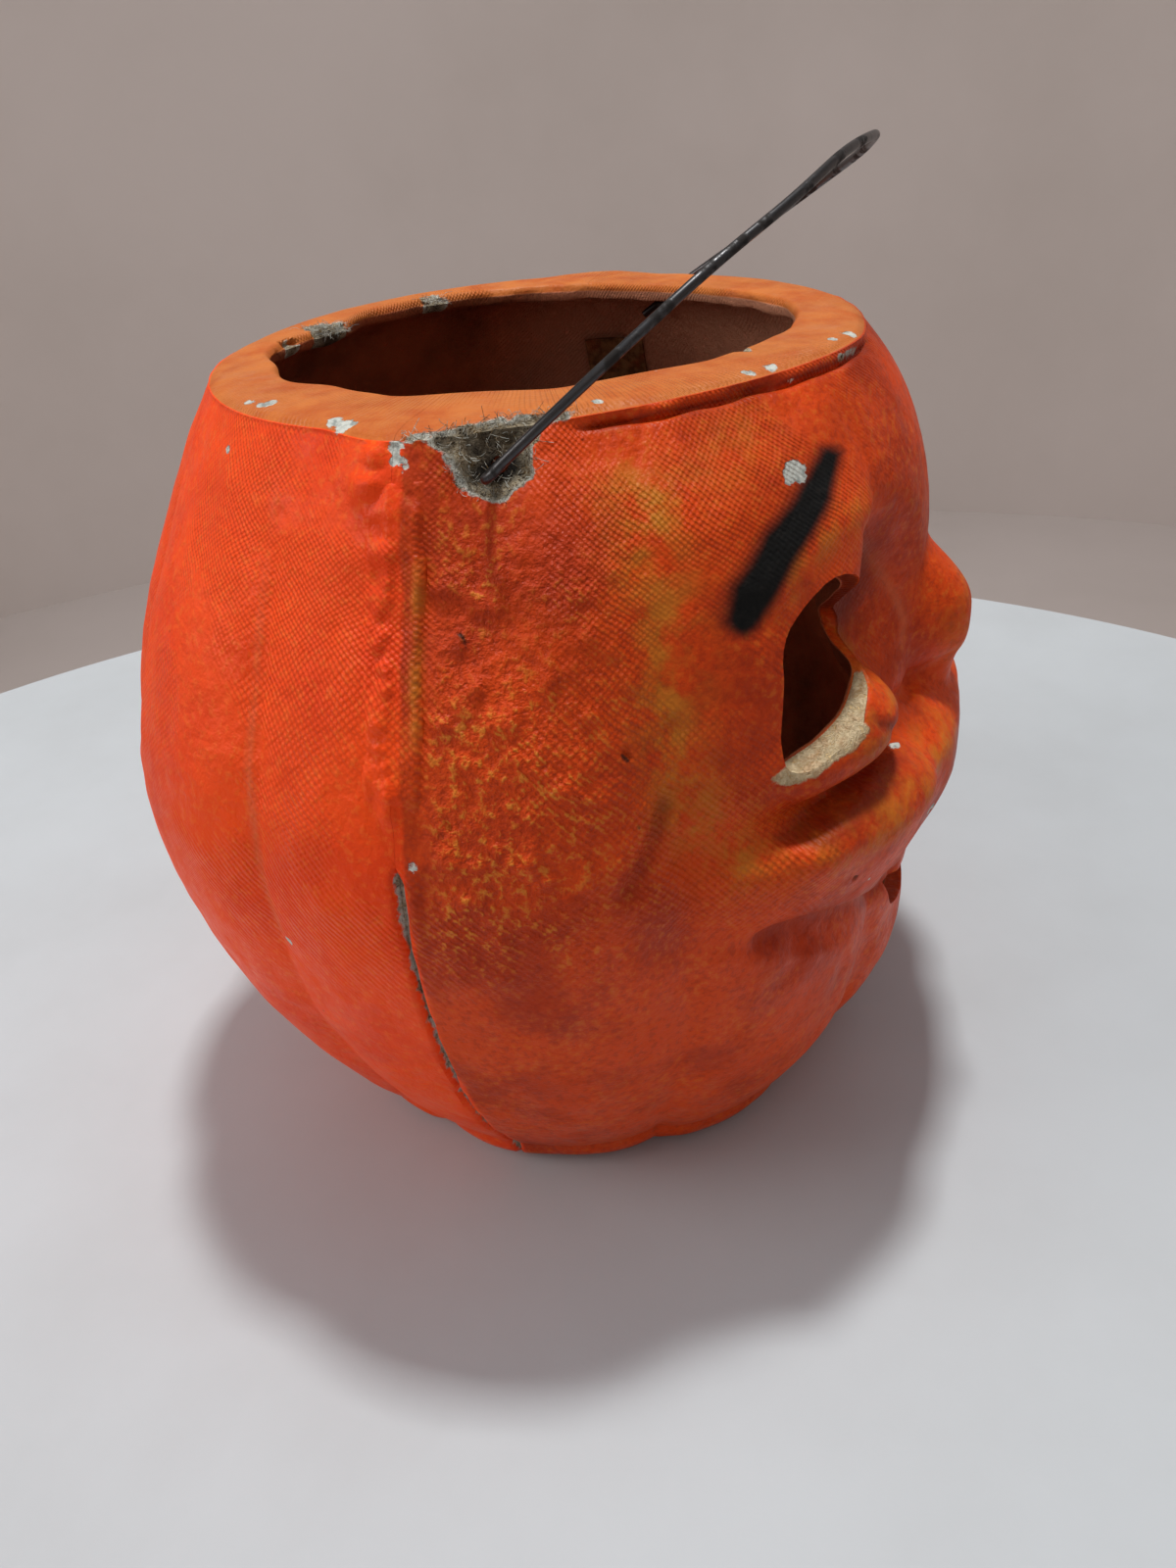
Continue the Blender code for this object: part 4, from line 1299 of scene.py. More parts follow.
@dataclass
class FibreBuilder:
    """Builds the hairs of torn pulp round the near hole and at the opening's notches.

    The shift is the place of the seam plane along Y, in metres. A tuft has its place in plan, its
    radius and its number of hairs.
    """

    shift: float
    thickness: float = 0.035
    count: int = 300
    knots: int = 5
    tufts: tuple[tuple[float, float, float, int], ...] = (
        (8.0, 38.5, 4.0, 150), (32.0, 27.5, 2.0, 40),
    )
    rng: np.random.Generator = field(default_factory=lambda: np.random.default_rng(77))

    @staticmethod
    def wall_point(y: float, up: float) -> tuple[Vector, Vector]:
        """Place on the near wall or, folded over the rim, on the lip.

        Args:
            y: Place along Y.
            up: Height, or past the rim the height plus the way inward.

        Returns:
            The place and the direction out of the pulp.
        """
        height = min(up, FORM.top - 0.4)
        bearing = np.array([pi / 2])
        for _ in range(4):
            radius = FORM.wall_radius(bearing, np.array([height])) - max(up - FORM.top, 0)
            bearing = np.arccos(np.clip(-y / radius, -1, 1))
        place = Vector((-radius[0] * np.sin(bearing[0]), y, min(up, FORM.top)))
        out = Vector((-np.sin(bearing[0]), -np.cos(bearing[0]), 0))
        return place, out if up < FORM.top else Vector((0, 0, 1))

    def roots(self) -> list[tuple[Vector, Vector, float]]:
        """Roots of the hairs.

        Returns:
            Each root's place, the direction out of the pulp and the hair's length.
        """
        ring = np.array(MARKS.patch)
        found = []
        while len(found) < self.count:
            spot = self.rng.uniform(ring.min(axis=0) - 0.2, ring.max(axis=0) + 0.2)
            depth = ring_depth(spot[None, :], MARKS.patch)[0]
            if depth < -0.25 or (depth > 0.9 and self.rng.random() < 0.6):
                continue
            place, out = self.wall_point(*spot)
            sunk = 0.2 + 0.9 * float(ease(np.array(depth / 0.8)))
            found.append((place - out * sunk, out, self.rng.uniform(0.5, 1.6)))
        for x, y, size, hairs in self.tufts:
            for _ in range(hairs):
                turn, reach = self.rng.uniform(0, 2 * pi), size * np.sqrt(self.rng.random())
                place = Vector((x + reach * np.cos(turn), y + reach * np.sin(turn), FORM.top - 1.0))
                found.append((place, Vector((0, 0, 1)), self.rng.uniform(0.8, 2.4)))
        return found

    def build(self) -> bpy.types.Object:
        """Make the hairs' object.

        Returns:
            The finished piece, in the row frame.
        """
        routes = []
        for place, out, length in self.roots():
            drift = Vector(self.rng.normal(size=3))
            drift = (drift - out * drift.dot(out)).normalized()
            curl = Vector(self.rng.normal(size=3)) * 0.35
            lift = self.rng.uniform(0.15, 0.6)
            route = []
            for share in np.linspace(0, 1, self.knots).tolist():
                rise = out * length * lift * np.sin(pi * 0.8 * share)
                route.append(place + drift * length * share + rise + curl * length * share**2)
            routes.append(route)
        mesh = tube_mesh("torn_fibres", self.thickness, 0, routes)
        to_frame(mesh, self.shift)
        return link(bpy.data.objects.new("torn_fibres", mesh))


@dataclass
class TapeBuilder:
    """Builds one painted paper tape over a seam, with the lumps that it hides.

    The side is 1 for the near tape, at -X, and -1 for the far one. The shift is the place of the
    seam plane along Y, in metres.
    """

    node: str
    side: int
    shift: float
    half_width: float = 4.2
    low: float = 92.0
    high: float = 130.6
    columns: int = 34
    rows: int = 110
    thickness: float = 0.25
    edge_waves: Lumps = Lumps(4.0, 51, 0.10)
    end_waves: Lumps = Lumps(3.0, 52, 0.5)
    paste: Lumps = Lumps(2.2, 53, 0.22)
    ridge_strength: Lumps = Lumps(6.0, 54, 0.6)
    ridge_path: Lumps = Lumps(8.0, 55, 0.5)

    def lift(self, place: Array, across: Array, up: Array) -> Array:
        """How far the tape stands off the wall's plain form.

        Args:
            place: Grid of places on the plain form.
            across: Share of the half width at each place.
            up: Share of the length at each place.

        Returns:
            The reach at each place.
        """
        flat = place.reshape(-1, 3)

        def spread(lumps: Lumps, points: Array = flat) -> Array:
            """Reach of lumps over the grid."""
            return lumps.at(points).reshape(across.shape)

        depth = across * self.half_width
        wavy = 1 - np.abs(across) + spread(self.edge_waves)
        ends = np.minimum(up, 1 - up) * (self.high - self.low) / 3 + spread(self.end_waves)
        body = ease(wavy / 0.25) * ease(ends)
        rear = ease((depth - 0.3) / 1.2)
        push = -0.45 + (0.80 - 0.35 * rear) * body
        push += sum(spread(lumps) for lumps in SKIN)
        push += spread(self.paste) * body * (0.5 + rear)
        strength = np.clip(0.55 + spread(self.ridge_strength), 0, 1)
        middle = -3.3 + spread(self.ridge_path, flat * np.array([0, 0, 1.0]))
        ridge = 0.50 * dome((depth - middle) / 1.1) * ease((place[..., 2] - 99) / 5) * strength
        return push + (ridge + paste_lumps(flat).reshape(across.shape) * (self.side > 0))

    def sheet(self) -> Sheet:
        """The tape's outer side.

        Returns:
            The surface.
        """
        across, up = np.meshgrid(np.linspace(-1, 1, self.columns), np.linspace(0, 1, self.rows))
        height = self.low + (self.high - self.low) * up
        depth = across * self.half_width
        radius = FORM.wall_radius(np.full(height.shape, self.side * pi / 2), height)
        for _ in range(4):
            bearing = self.side * (pi / 2 + np.arcsin(np.clip(depth / radius, -1, 1)))
            radius = FORM.wall_radius(bearing, height)
        place = np.stack([-radius * np.sin(bearing), -radius * np.cos(bearing), height], axis=2)
        out = np.stack([-np.sin(bearing), -np.cos(bearing), np.zeros(bearing.shape)], axis=2)
        place = place + out * self.lift(place, across, up)[..., None]
        outside = np.zeros(across.shape)
        return Sheet(place, bearing[0], height, outside, outside)

    def build(self) -> bpy.types.Object:
        """Make the tape's object.

        Returns:
            The finished piece, in the row frame.
        """
        mesh = sheet_mesh(self.node + "_paper", self.sheet())
        add_weave_map(mesh)
        to_frame(mesh, self.shift)
        mesh.shade_smooth()
        item = link(bpy.data.objects.new(mesh.name, mesh))
        paper = item.modifiers.new("thickness", "SOLIDIFY")
        paper.thickness = self.thickness * MM
        paper.offset = -1
        return item


# ---- wire


@dataclass
class WireBuilder:
    """Builds the bail: one bent wire with the small kinks of handling.

    The shift is the place of the seam plane along Y, in metres. A kink has its reach, its waves
    along the arch in radians and its phase.
    """

    shift: float
    radius: float = 0.65
    section: int = 6
    half_width: float = 59.8
    rise: float = 51.0
    lean: float = np.radians(54)
    warp: float = np.radians(4)
    bend_radius: float = 1.8
    bend_steps: int = 9
    arch_steps: int = 145
    hook_length: float = 4.0
    hook_inset: float = 2.4
    kinks: tuple[Triple, ...] = ((0.35, 5.2, 0.4), (0.22, 11.3, 0.0))

    def hook(self) -> float:
        """How far the upright ends of the hooks stand from the middle plane.

        Returns:
            The distance.
        """
        y, z = MARKS.hole
        reach = np.array([56.0])
        for _ in range(6):
            bearing = np.arctan2(reach, -y)
            reach = FORM.wall_radius(-bearing, np.array([z])) * np.sin(bearing)
        return float(reach[0]) - FORM.wall - self.hook_inset

    def bend(self, start: Vector, corner: Vector, stop: Vector) -> list[Vector]:
        """Points of a round bend.

        Args:
            start: A point on the way in.
            corner: The corner that is rounded.
            stop: A point on the way out.

        Returns:
            Points along the bend.
        """
        into = (start - corner).normalized() * self.bend_radius
        out = (stop - corner).normalized() * self.bend_radius
        shares = np.linspace(0, 1, self.bend_steps)
        return [corner + into * (1 - share) ** 2 + out * share**2 for share in shares]

    def path(self) -> list[Vector]:
        """Route of the wire in the bail's own upright frame.

        Returns:
            Its points from the near hook to the far one.
        """
        hook = self.hook()
        inside = Vector((-hook, 0, 0))
        outside = Vector((-self.half_width, 0, 0))
        half = [Vector((-hook, 0, -self.hook_length))]
        half += self.bend(half[0], inside, outside)
        half += self.bend(inside, outside, outside + Vector((0, 0, self.rise)))
        first = np.arcsin(2 * self.bend_radius / self.rise)
        arch = []
        for turn in np.linspace(first, pi - first, self.arch_steps):
            across = -self.half_width * np.cos(turn)
            rise = self.rise * np.sin(turn)
            warp = self.warp * across / self.half_width
            kinks = sum(reach * np.sin(waves * turn + phase) for reach, waves, phase in self.kinks)
            kinks *= np.sin(turn) ** 2 * (1 + np.cos(turn)) / 2
            arch.append(Vector((across, -rise * np.sin(warp) + kinks, rise * np.cos(warp))))
        other = [Vector((-point.x, point.y, point.z)) for point in reversed(half)]
        return half + arch + other

    def build(self) -> bpy.types.Object:
        """Make the wire's object.

        Returns:
            The finished piece, in the row frame.
        """
        mesh = tube_mesh("bail_wire_bent", self.radius, self.section, [self.path()])
        y, z = MARKS.hole
        place = Matrix.Translation((0, y * MM + self.shift, z * MM))
        mesh.transform(place @ Matrix.Rotation(self.lean, 4, "X") @ Matrix.Scale(MM, 4))
        mesh.shade_smooth()
        mesh.set_sharp_from_angle(angle=SHARP_ANGLE)
        return link(bpy.data.objects.new("bail_wire_bent", mesh))


# ---- materials


Colour = tuple[float, float, float, float]
Socket = bpy.types.NodeSocket
NUMBER = "NodeSocketFloat"
VECTOR = "NodeSocketVector"


def paint(red: int, green: int, blue: int) -> Colour:
    """Linear colour of a colour that was read off the screen.

    Args:
        red: Red, 0 to 255.
        green: Green, 0 to 255.
        blue: Blue, 0 to 255.

    Returns:
        The colour with full cover.
    """
    levels = [level / 255 for level in (red, green, blue)]
    linear = [
        level / 12.92 if level <= 0.04045 else ((level + 0.055) / 1.055) ** 2.4 for level in levels
    ]
    return (*linear, 1.0)


class Tree:
    """Adds nodes to one node tree."""

    def __init__(self, tree: bpy.types.NodeTree) -> None:
        """Args:
            tree: The tree.
        """
        self.tree = tree

    def link(self, value: Socket, goal: Socket) -> None:
        """Join two sockets."""
        self.tree.links.new(value, goal)

    def feed(self, node: bpy.types.Node, inputs: dict) -> bpy.types.Node:
        """Give a node its inputs.

        Args:
            node: The node.
            inputs: Values or sockets for its inputs, by name or index.

        Returns:
            The node.
        """
        for key, value in inputs.items():
            if isinstance(value, Socket):
                self.link(value, node.inputs[key])
            else:
                node.inputs[key].default_value = value
        return node

    def add(self, kind: str, inputs: dict | None = None, **settings: object) -> bpy.types.Node:
        """Add a node.

        Args:
            kind: Type of the node.
            inputs: Values or sockets for its inputs, by name or index.
            settings: Properties of the node.

        Returns:
            The node.
        """
        node = self.tree.nodes.new(kind)
        for name, value in settings.items():
            setattr(node, name, value)
        return self.feed(node, inputs or {})

    def use(self, group: bpy.types.NodeTree, **inputs: object) -> bpy.types.Node:
        """Add a node group.

        Args:
            group: The group.
            inputs: Values or sockets for its inputs, by their names in small letters.

        Returns:
            The node.
        """
        node = self.add("ShaderNodeGroup", node_tree=group)
        return self.feed(node, {name.capitalize(): value for name, value in inputs.items()})

    def math(self, operation: str, *values: object, clamp: bool = False) -> Socket:
        """Result of a sum, product or other operation on values."""
        inputs = dict(enumerate(values))
        return self.add("ShaderNodeMath", inputs, operation=operation, use_clamp=clamp).outputs[0]

    def times(self, first: object, *others: object) -> Socket:
        """Product of values.

        Args:
            first: First value or socket.
            others: The others, multiplied in this order.

        Returns:
            The product.
        """
        for other in others:
            first = self.math("MULTIPLY", first, other)
        return first

    def plus(self, first: object, second: object) -> Socket:
        """Sum of two values."""
        return self.math("ADD", first, second)

    def minus(self, first: object, second: object) -> Socket:
        """Difference of two values."""
        return self.math("SUBTRACT", first, second)

    def vector(self, operation: str, first: object, second: object) -> Socket:
        """Result of an operation on two vectors."""
        inputs = {0: first, 1: second}
        return self.add("ShaderNodeVectorMath", inputs, operation=operation).outputs[0]

    def mix(self, share: object, low: object, high: object) -> Socket:
        """Colour between two colours."""
        inputs = {0: share, 6: low, 7: high}
        return self.add("ShaderNodeMix", inputs, data_type="RGBA").outputs[2]

    def lay(self, under: object, share: object, strength: float, colour: Colour) -> Socket:
        """Colour laid over another by a share of its full strength."""
        return self.mix(self.math("MULTIPLY", share, strength, clamp=True), under, colour)

    def blend(self, share: object, low: object, high: object) -> Socket:
        """Value between two values."""
        return self.add("ShaderNodeMix", {0: share, 2: low, 3: high}).outputs[0]

    def field(self, name: str) -> Socket:
        """Value of a mesh attribute."""
        return self.add("ShaderNodeAttribute", attribute_name=name).outputs["Fac"]

    def ramp(self, value: object, low: float, high: float) -> Socket:
        """Smooth share of a value between two bounds."""
        inputs = {0: value, 1: low, 2: high, 3: 0.0, 4: 1.0}
        return self.add("ShaderNodeMapRange", inputs, interpolation_type="SMOOTHSTEP").outputs[0]

    def noise(self, place: object, scale: float, detail: float) -> Socket:
        """Noise at a place."""
        inputs = {"Vector": place, "Scale": scale, "Detail": detail, "Roughness": 0.6}
        return self.add("ShaderNodeTexNoise", inputs).outputs[0]

    def cloud(self, place: object, scale: float, detail: float, low: float, high: float) -> Socket:
        """Share of noise between two of its levels."""
        return self.ramp(self.noise(place, scale, detail), low, high)

    def wander(self, place: object, scale: float, detail: float, reach: Triple) -> Socket:
        """Place moved about by noise.

        Args:
            place: The place.
            scale: Scale of the noise.
            detail: Detail of the noise.
            reach: Farthest move along each axis.

        Returns:
            The moved place.
        """
        inputs = {"Vector": place, "Scale": scale, "Detail": detail}
        noise = self.add("ShaderNodeTexNoise", inputs).outputs["Color"]
        return self.vector("ADD", place, self.vector("MULTIPLY", noise, reach))


class GroupMaker:
    """Makes the node groups that the materials share."""

    def __init__(self) -> None:
        """Make all groups."""
        self.edge = self.make_edge()
        self.weave = self.make_weave()
        self.fibre = self.make_fibre()
        self.mottle = self.make_mottle()
        self.scuffs = self.make_scuffs()

    @staticmethod
    def start(name: str, inputs: dict[str, str], outputs: tuple[str, ...]) -> tuple:
        """Make an empty group.

        Args:
            name: Name of the group.
            inputs: Kinds of its inputs by name.
            outputs: Names of its outputs, all of them numbers.

        Returns:
            The group, its tree helper, its inputs' sockets and its outputs' sockets.
        """
        group = bpy.data.node_groups.new(name, "ShaderNodeTree")
        for label, kind in inputs.items():
            group.interface.new_socket(label, in_out="INPUT", socket_type=kind)
        for label in outputs:
            group.interface.new_socket(label, in_out="OUTPUT", socket_type=NUMBER)
        tree = Tree(group)
        return group, tree, tree.add("NodeGroupInput").outputs, tree.add("NodeGroupOutput").inputs

    def make_edge(self) -> bpy.types.NodeTree:
        """Mask of a painted or broken area from its depth field, with a ragged edge.

        Returns:
            The group.
        """
        kinds = {
            "Place": VECTOR, "Depth": NUMBER, "Wobble": NUMBER, "Scale": NUMBER, "Softness": NUMBER,
        }
        group, tree, source, goal = self.start("ragged edge", kinds, ("Mask",))
        noise = tree.noise(source["Place"], 1.0, 4.0)
        tree.link(source["Scale"], noise.node.inputs["Scale"])
        shift = tree.times(tree.minus(noise, 0.5), source["Wobble"])
        depth = tree.plus(tree.minus(source["Depth"], OFFSET), shift)
        share = tree.math("DIVIDE", depth, source["Softness"])
        tree.link(tree.ramp(share, -0.5, 0.5), goal["Mask"])
        return group

    def make_weave(self) -> bpy.types.NodeTree:
        """Imprint of the mould's wire screen: raised dots between crossing threads.

        Returns:
            The group.
        """
        kinds = {"Place": VECTOR, "Pitch": NUMBER}
        group, tree, source, goal = self.start("screen imprint", kinds, ("Relief",))
        place = tree.wander(source["Place"], 120.0, 1.0, (0.0016, 0.0016, 0.0))
        turned = tree.add(
            "ShaderNodeVectorRotate", {"Vector": place, "Angle": 0.72}, rotation_type="Z_AXIS"
        )
        parts = tree.add("ShaderNodeSeparateXYZ", {0: turned.outputs[0]})
        waves = []
        for index in (0, 1):
            turn = tree.math("DIVIDE", parts.outputs[index], source["Pitch"])
            waves.append(tree.math("SINE", tree.times(turn, 2 * pi)))
        height = tree.plus(waves[0], tree.times(waves[1], 0.5))
        tree.link(tree.ramp(height, -1.4, 1.3), goal["Relief"])
        return group

    def make_fibre(self) -> bpy.types.NodeTree:
        """Matted paper fibres: crossing stretched streaks.

        Returns:
            The group.
        """
        kinds = {"Place": VECTOR}
        group, tree, source, goal = self.start("paper fibres", kinds, ("Relief", "Tone"))
        place = tree.wander(source["Place"], 260.0, 2.0, (0.004, 0.004, 0.004))
        total = None
        for stretch in ((2600.0, 300.0, 500.0), (400.0, 2400.0, 320.0), (420.0, 380.0, 2500.0)):
            scaled = tree.vector("MULTIPLY", place, stretch)
            streak = tree.math("ABSOLUTE", tree.minus(tree.noise(scaled, 1.0, 2.0), 0.5))
            hair = tree.ramp(streak, 0.10, 0.0)
            total = hair if total is None else tree.math("MAXIMUM", total, hair)
        tree.link(total, goal["Relief"])
        tree.link(tree.noise(source["Place"], 520.0, 4.0), goal["Tone"])
        return group

    def make_mottle(self) -> bpy.types.NodeTree:
        """Cloudy share for uneven paint.

        Returns:
            The group.
        """
        kinds = {"Place": VECTOR, "Scale": NUMBER, "Low": NUMBER, "High": NUMBER}
        group, tree, source, goal = self.start("mottle", kinds, ("Share",))
        noise = tree.noise(source["Place"], 1.0, 5.0)
        tree.link(source["Scale"], noise.node.inputs["Scale"])
        ramp = tree.ramp(noise, 0.0, 1.0)
        tree.link(source["Low"], ramp.node.inputs[1])
        tree.link(source["High"], ramp.node.inputs[2])
        tree.link(ramp, goal["Share"])
        return group

    def make_scuffs(self) -> bpy.types.NodeTree:
        """Scattered specks and short scratches.

        Returns:
            The group.
        """
        kinds = {"Place": VECTOR, "Scale": NUMBER, "Size": NUMBER}
        group, tree, source, goal = self.start("specks", kinds, ("Mask",))
        inputs = {"Vector": source["Place"], "Scale": source["Scale"], "Randomness": 1.0}
        cells = tree.add("ShaderNodeTexVoronoi", inputs)
        parts = tree.add("ShaderNodeSeparateColor", {0: cells.outputs["Color"]})
        size = tree.times(parts.outputs[0], source["Size"])
        chosen = tree.math("GREATER_THAN", parts.outputs[1], 0.72)
        inside = tree.minus(size, cells.outputs["Distance"])
        tree.link(tree.times(tree.ramp(inside, 0.0, 0.06), chosen), goal["Mask"])
        return group


class Blank:
    """An empty material that a finish fills in."""

    def __init__(self, name: str) -> None:
        """Args:
            name: Name of the material.
        """
        self.material = bpy.data.materials.new(name)
        self.material.use_nodes = True
        self.tree = Tree(self.material.node_tree)
        self.shader = self.material.node_tree.nodes["Principled BSDF"]
        self.shader.inputs["Specular IOR Level"].default_value = 0.2
        self.place = self.tree.add("ShaderNodeTexCoord").outputs["Object"]

    def bump(self, height: Socket, strength: float = 1.0) -> Socket:
        """Normal of a relief in metres."""
        inputs = {"Height": height, "Distance": 1.0, "Strength": strength}
        return self.tree.add("ShaderNodeBump", inputs).outputs[0]

    def finish(self, colour: Socket, rough: object, normal: Socket | None) -> bpy.types.Material:
        """Join colour, roughness and normal to the shader.

        Args:
            colour: Its colour.
            rough: Its roughness.
            normal: Its normal, or None for a smooth one.

        Returns:
            The material.
        """
        inputs = {"Base Color": colour, "Roughness": rough}
        if normal is not None:
            inputs["Normal"] = normal
        self.tree.feed(self.shader, inputs)
        return self.material


@dataclass(frozen=True)
class PaintedPulp:
    """Painted pulp with its wear and its painted light and shade, in colours as seen on the
    photographed lantern.
    """

    face: Colour = paint(222, 72, 10)
    face_dark: Colour = paint(168, 46, 10)
    face_pale: Colour = paint(232, 142, 48)
    # Painted shade for the low places of the face's fine relief.
    hollow_shade: Colour = paint(140, 36, 12)
    rear: Colour = paint(252, 78, 12)
    rear_dark: Colour = paint(232, 56, 6)
    rear_pale: Colour = paint(255, 128, 44)
    # Yellowed, scuffed paint, also used as painted highlight on the raised folds.
    worn_and_lit: Colour = paint(204, 124, 34)
    lip: Colour = paint(206, 118, 54)
    lip_dark: Colour = paint(188, 86, 28)
    inner: Colour = paint(200, 96, 58)
    # Painted light: the lit look of the far inner wall.
    inner_lit: Colour = paint(238, 168, 136)
    inner_dark: Colour = paint(112, 52, 32)
    # Painted shade: the dark red laid into the creases, the eye sockets, the dent and the crevice
    # under the lip.
    painted_shade: Colour = paint(104, 28, 10)
    brow: Colour = paint(9, 10, 10)
    brow_worn: Colour = paint(24, 22, 20)
    cream: Colour = paint(226, 198, 148)
    cream_dark: Colour = paint(196, 150, 92)
    pulp: Colour = paint(126, 100, 62)
    # Dark pulp tone, also used as painted shade in the pinholes, deep in the tear and on the wire's
    # hole walls.
    dark_pulp_and_shade: Colour = paint(38, 26, 16)
    pulp_pale: Colour = paint(190, 180, 156)
    line: Colour = paint(226, 122, 78)
    # Painted shade: near black for the wire's pit.
    pit_shade: Colour = paint(14, 10, 8)
    gesso: Colour = paint(206, 210, 202)
    gesso_dark: Colour = paint(140, 148, 144)

    def make(self, name: str, groups: GroupMaker) -> bpy.types.Material:
        """Make the material under a name, with the shared node groups."""
        return PulpPainter(name, groups, self).build()


class PulpPainter:
    """Lays the painted pulp's coats, its wear, its painted light and shade and its relief into one
    material.
    """

    screen_pitch = 0.00076

    def __init__(self, name: str, groups: GroupMaker, colours: PaintedPulp) -> None:
        """Args:
            name: Name of the material.
            groups: The shared node groups.
            colours: Colours of the paint and the pulp.
        """
        self.blank = Blank(name)
        self.tree = tree = self.blank.tree
        self.groups = groups
        self.colours = colours
        weave_map = tree.add("ShaderNodeUVMap", uv_map="weave").outputs[0]
        self.weave = tree.use(groups.weave, place=weave_map, pitch=self.screen_pitch).outputs[0]
        self.fibre = tree.use(groups.fibre, place=self.blank.place).outputs
        self.x, self.y, self.z = tree.add("ShaderNodeSeparateXYZ", {0: self.blank.place}).outputs
        self.lumps = self.noise(820.0, 3.0)
        self.pimple = tree.field("pimple")
        share = tree.times(tree.ramp(self.z, 0.056, 0.078), self.cloud(45.0, 2.0, 0.40, 0.56))
        self.screen = tree.times(share, tree.ramp(self.y, -0.064, -0.046))
        self.depths = tree.ramp(tree.field("inside"), 0.3, 0.9)
        self.brow = self.area("brow", 0.35, 420.0, 1.9)
        self.chip = self.area("chip", 2.2, 650.0, 0.22)
        self.bare = self.area("bare", 1.6, 520.0, 0.35)
        self.torn = self.area("torn", 1.3, 600.0, 0.30)

    def noise(self, scale: float, detail: float) -> Socket:
        """Noise over the piece."""
        return self.tree.noise(self.blank.place, scale, detail)

    def cloud(self, scale: float, detail: float, low: float, high: float) -> Socket:
        """Share of noise over the piece between two of its levels."""
        return self.tree.cloud(self.blank.place, scale, detail, low, high)

    def mottle(self, scale: float, low: float, high: float) -> Socket:
        """Share of the uneven paint between two of its levels."""
        inputs = {"place": self.blank.place, "scale": scale, "low": low, "high": high}
        return self.tree.use(self.groups.mottle, **inputs).outputs[0]

    def specks(self, scale: float, size: float) -> Socket:
        """Mask of scattered specks."""
        inputs = {"place": self.blank.place, "scale": scale, "size": size}
        return self.tree.use(self.groups.scuffs, **inputs).outputs[0]

    def area(self, name: str, wobble: float, scale: float, softness: float) -> Socket:
        """Mask of an area from its depth field, with an edge that wanders, in millimetres."""
        inputs = {
            "place": self.blank.place, "depth": self.tree.field(name), "wobble": wobble,
            "scale": scale, "softness": softness,
        }
        return self.tree.use(self.groups.edge, **inputs).outputs[0]

    def coats(self) -> Socket:
        """Paint of the face and the rear, with the scuffed tops of its bumps and painted shade in
        the low places of the face's relief.

        Returns:
            The colour.
        """
        tree, colours = self.tree, self.colours
        edge = tree.plus(self.y, tree.times(self.noise(300.0, 2.0), 0.0012))
        rear = tree.ramp(edge, -0.0010, -0.0002)
        cloud = self.mottle(55.0, 0.42, 0.66)
        rise = tree.blend(self.screen, self.lumps, tree.blend(0.13, self.lumps, self.weave))
        peaks = tree.ramp(rise, 0.50, 0.68)
        # Painted shade: the face darkens where its fine relief is low.
        shaded_hollows = tree.ramp(rise, 0.50, 0.34)
        face = tree.lay(colours.face, cloud, 0.70, colours.face_dark)
        face = tree.lay(face, shaded_hollows, 0.30, colours.hollow_shade)
        rub = tree.times(peaks, tree.plus(0.26, tree.times(self.pimple, 0.52)))
        rub = tree.math("MULTIPLY", rub, self.cloud(75.0, 3.0, 0.34, 0.60), clamp=True)
        face = tree.mix(rub, face, colours.face_pale)
        back = tree.lay(colours.rear, cloud, 0.55, colours.rear_dark)
        back = tree.lay(back, peaks, 0.30, colours.rear_pale)
        return tree.mix(rear, face, back)

    def wear(self, skin: Socket) -> Socket:
        """Pale lines, yellowed paint with painted highlights on the raised folds, the scuffed lip,
        painted shade in the creases and sockets, and specks.

        Args:
            skin: Colour of the paint.

        Returns:
            The colour with its wear.
        """
        tree, colours = self.tree, self.colours
        skin = tree.lay(skin, tree.field("line"), 0.55, colours.line)
        # Yellowed wear and painted highlights on the raised folds of the face.
        worn_and_lit = tree.times(tree.field("worn_and_lit"), self.cloud(240.0, 5.0, 0.36, 0.66))
        skin = tree.lay(skin, worn_and_lit, 0.85, colours.worn_and_lit)
        lip_tone = tree.mix(self.cloud(150.0, 5.0, 0.36, 0.80), colours.lip, colours.lip_dark)
        skin = tree.mix(tree.ramp(tree.field("lip"), 0.2, 0.8), skin, lip_tone)
        # Painted shade, laid by the shade field over the creases, the sockets and the eyes' walls.
        painted_shade = self.cloud(330.0, 4.0, 0.05, 0.5)
        painted_shade = tree.math("MULTIPLY", tree.field("shade"), painted_shade, clamp=True)
        skin = tree.lay(skin, painted_shade, 0.88, colours.painted_shade)
        skin = tree.lay(skin, self.specks(190.0, 0.10), 0.65, colours.inner_dark)
        skin = tree.lay(skin, self.specks(120.0, 0.06), 0.7, colours.gesso)
        brow_tone = tree.mix(self.cloud(900.0, 4.0, 0.50, 0.72), colours.brow, colours.brow_worn)
        return tree.mix(self.brow, skin, brow_tone)

    def inner_side(self) -> Socket:
        """Bare inner side, with painted light on the upper part of the far wall on the face side.

        Returns:
            The colour.
        """
        tree, colours = self.tree, self.colours
        inner = tree.mix(self.mottle(60.0, 0.30, 0.80), colours.inner, colours.inner_dark)
        # Painted light: the upper far inner wall on the face side is made paler.
        lit_far_wall = tree.ramp(tree.minus(self.x, self.y), 0.018, 0.060)
        spray = tree.times(lit_far_wall, tree.ramp(self.z, 0.085, 0.112))
        inner = tree.lay(inner, spray, 0.85, colours.inner_lit)
        return tree.lay(inner, self.fibre["Relief"], 0.25, colours.pulp)

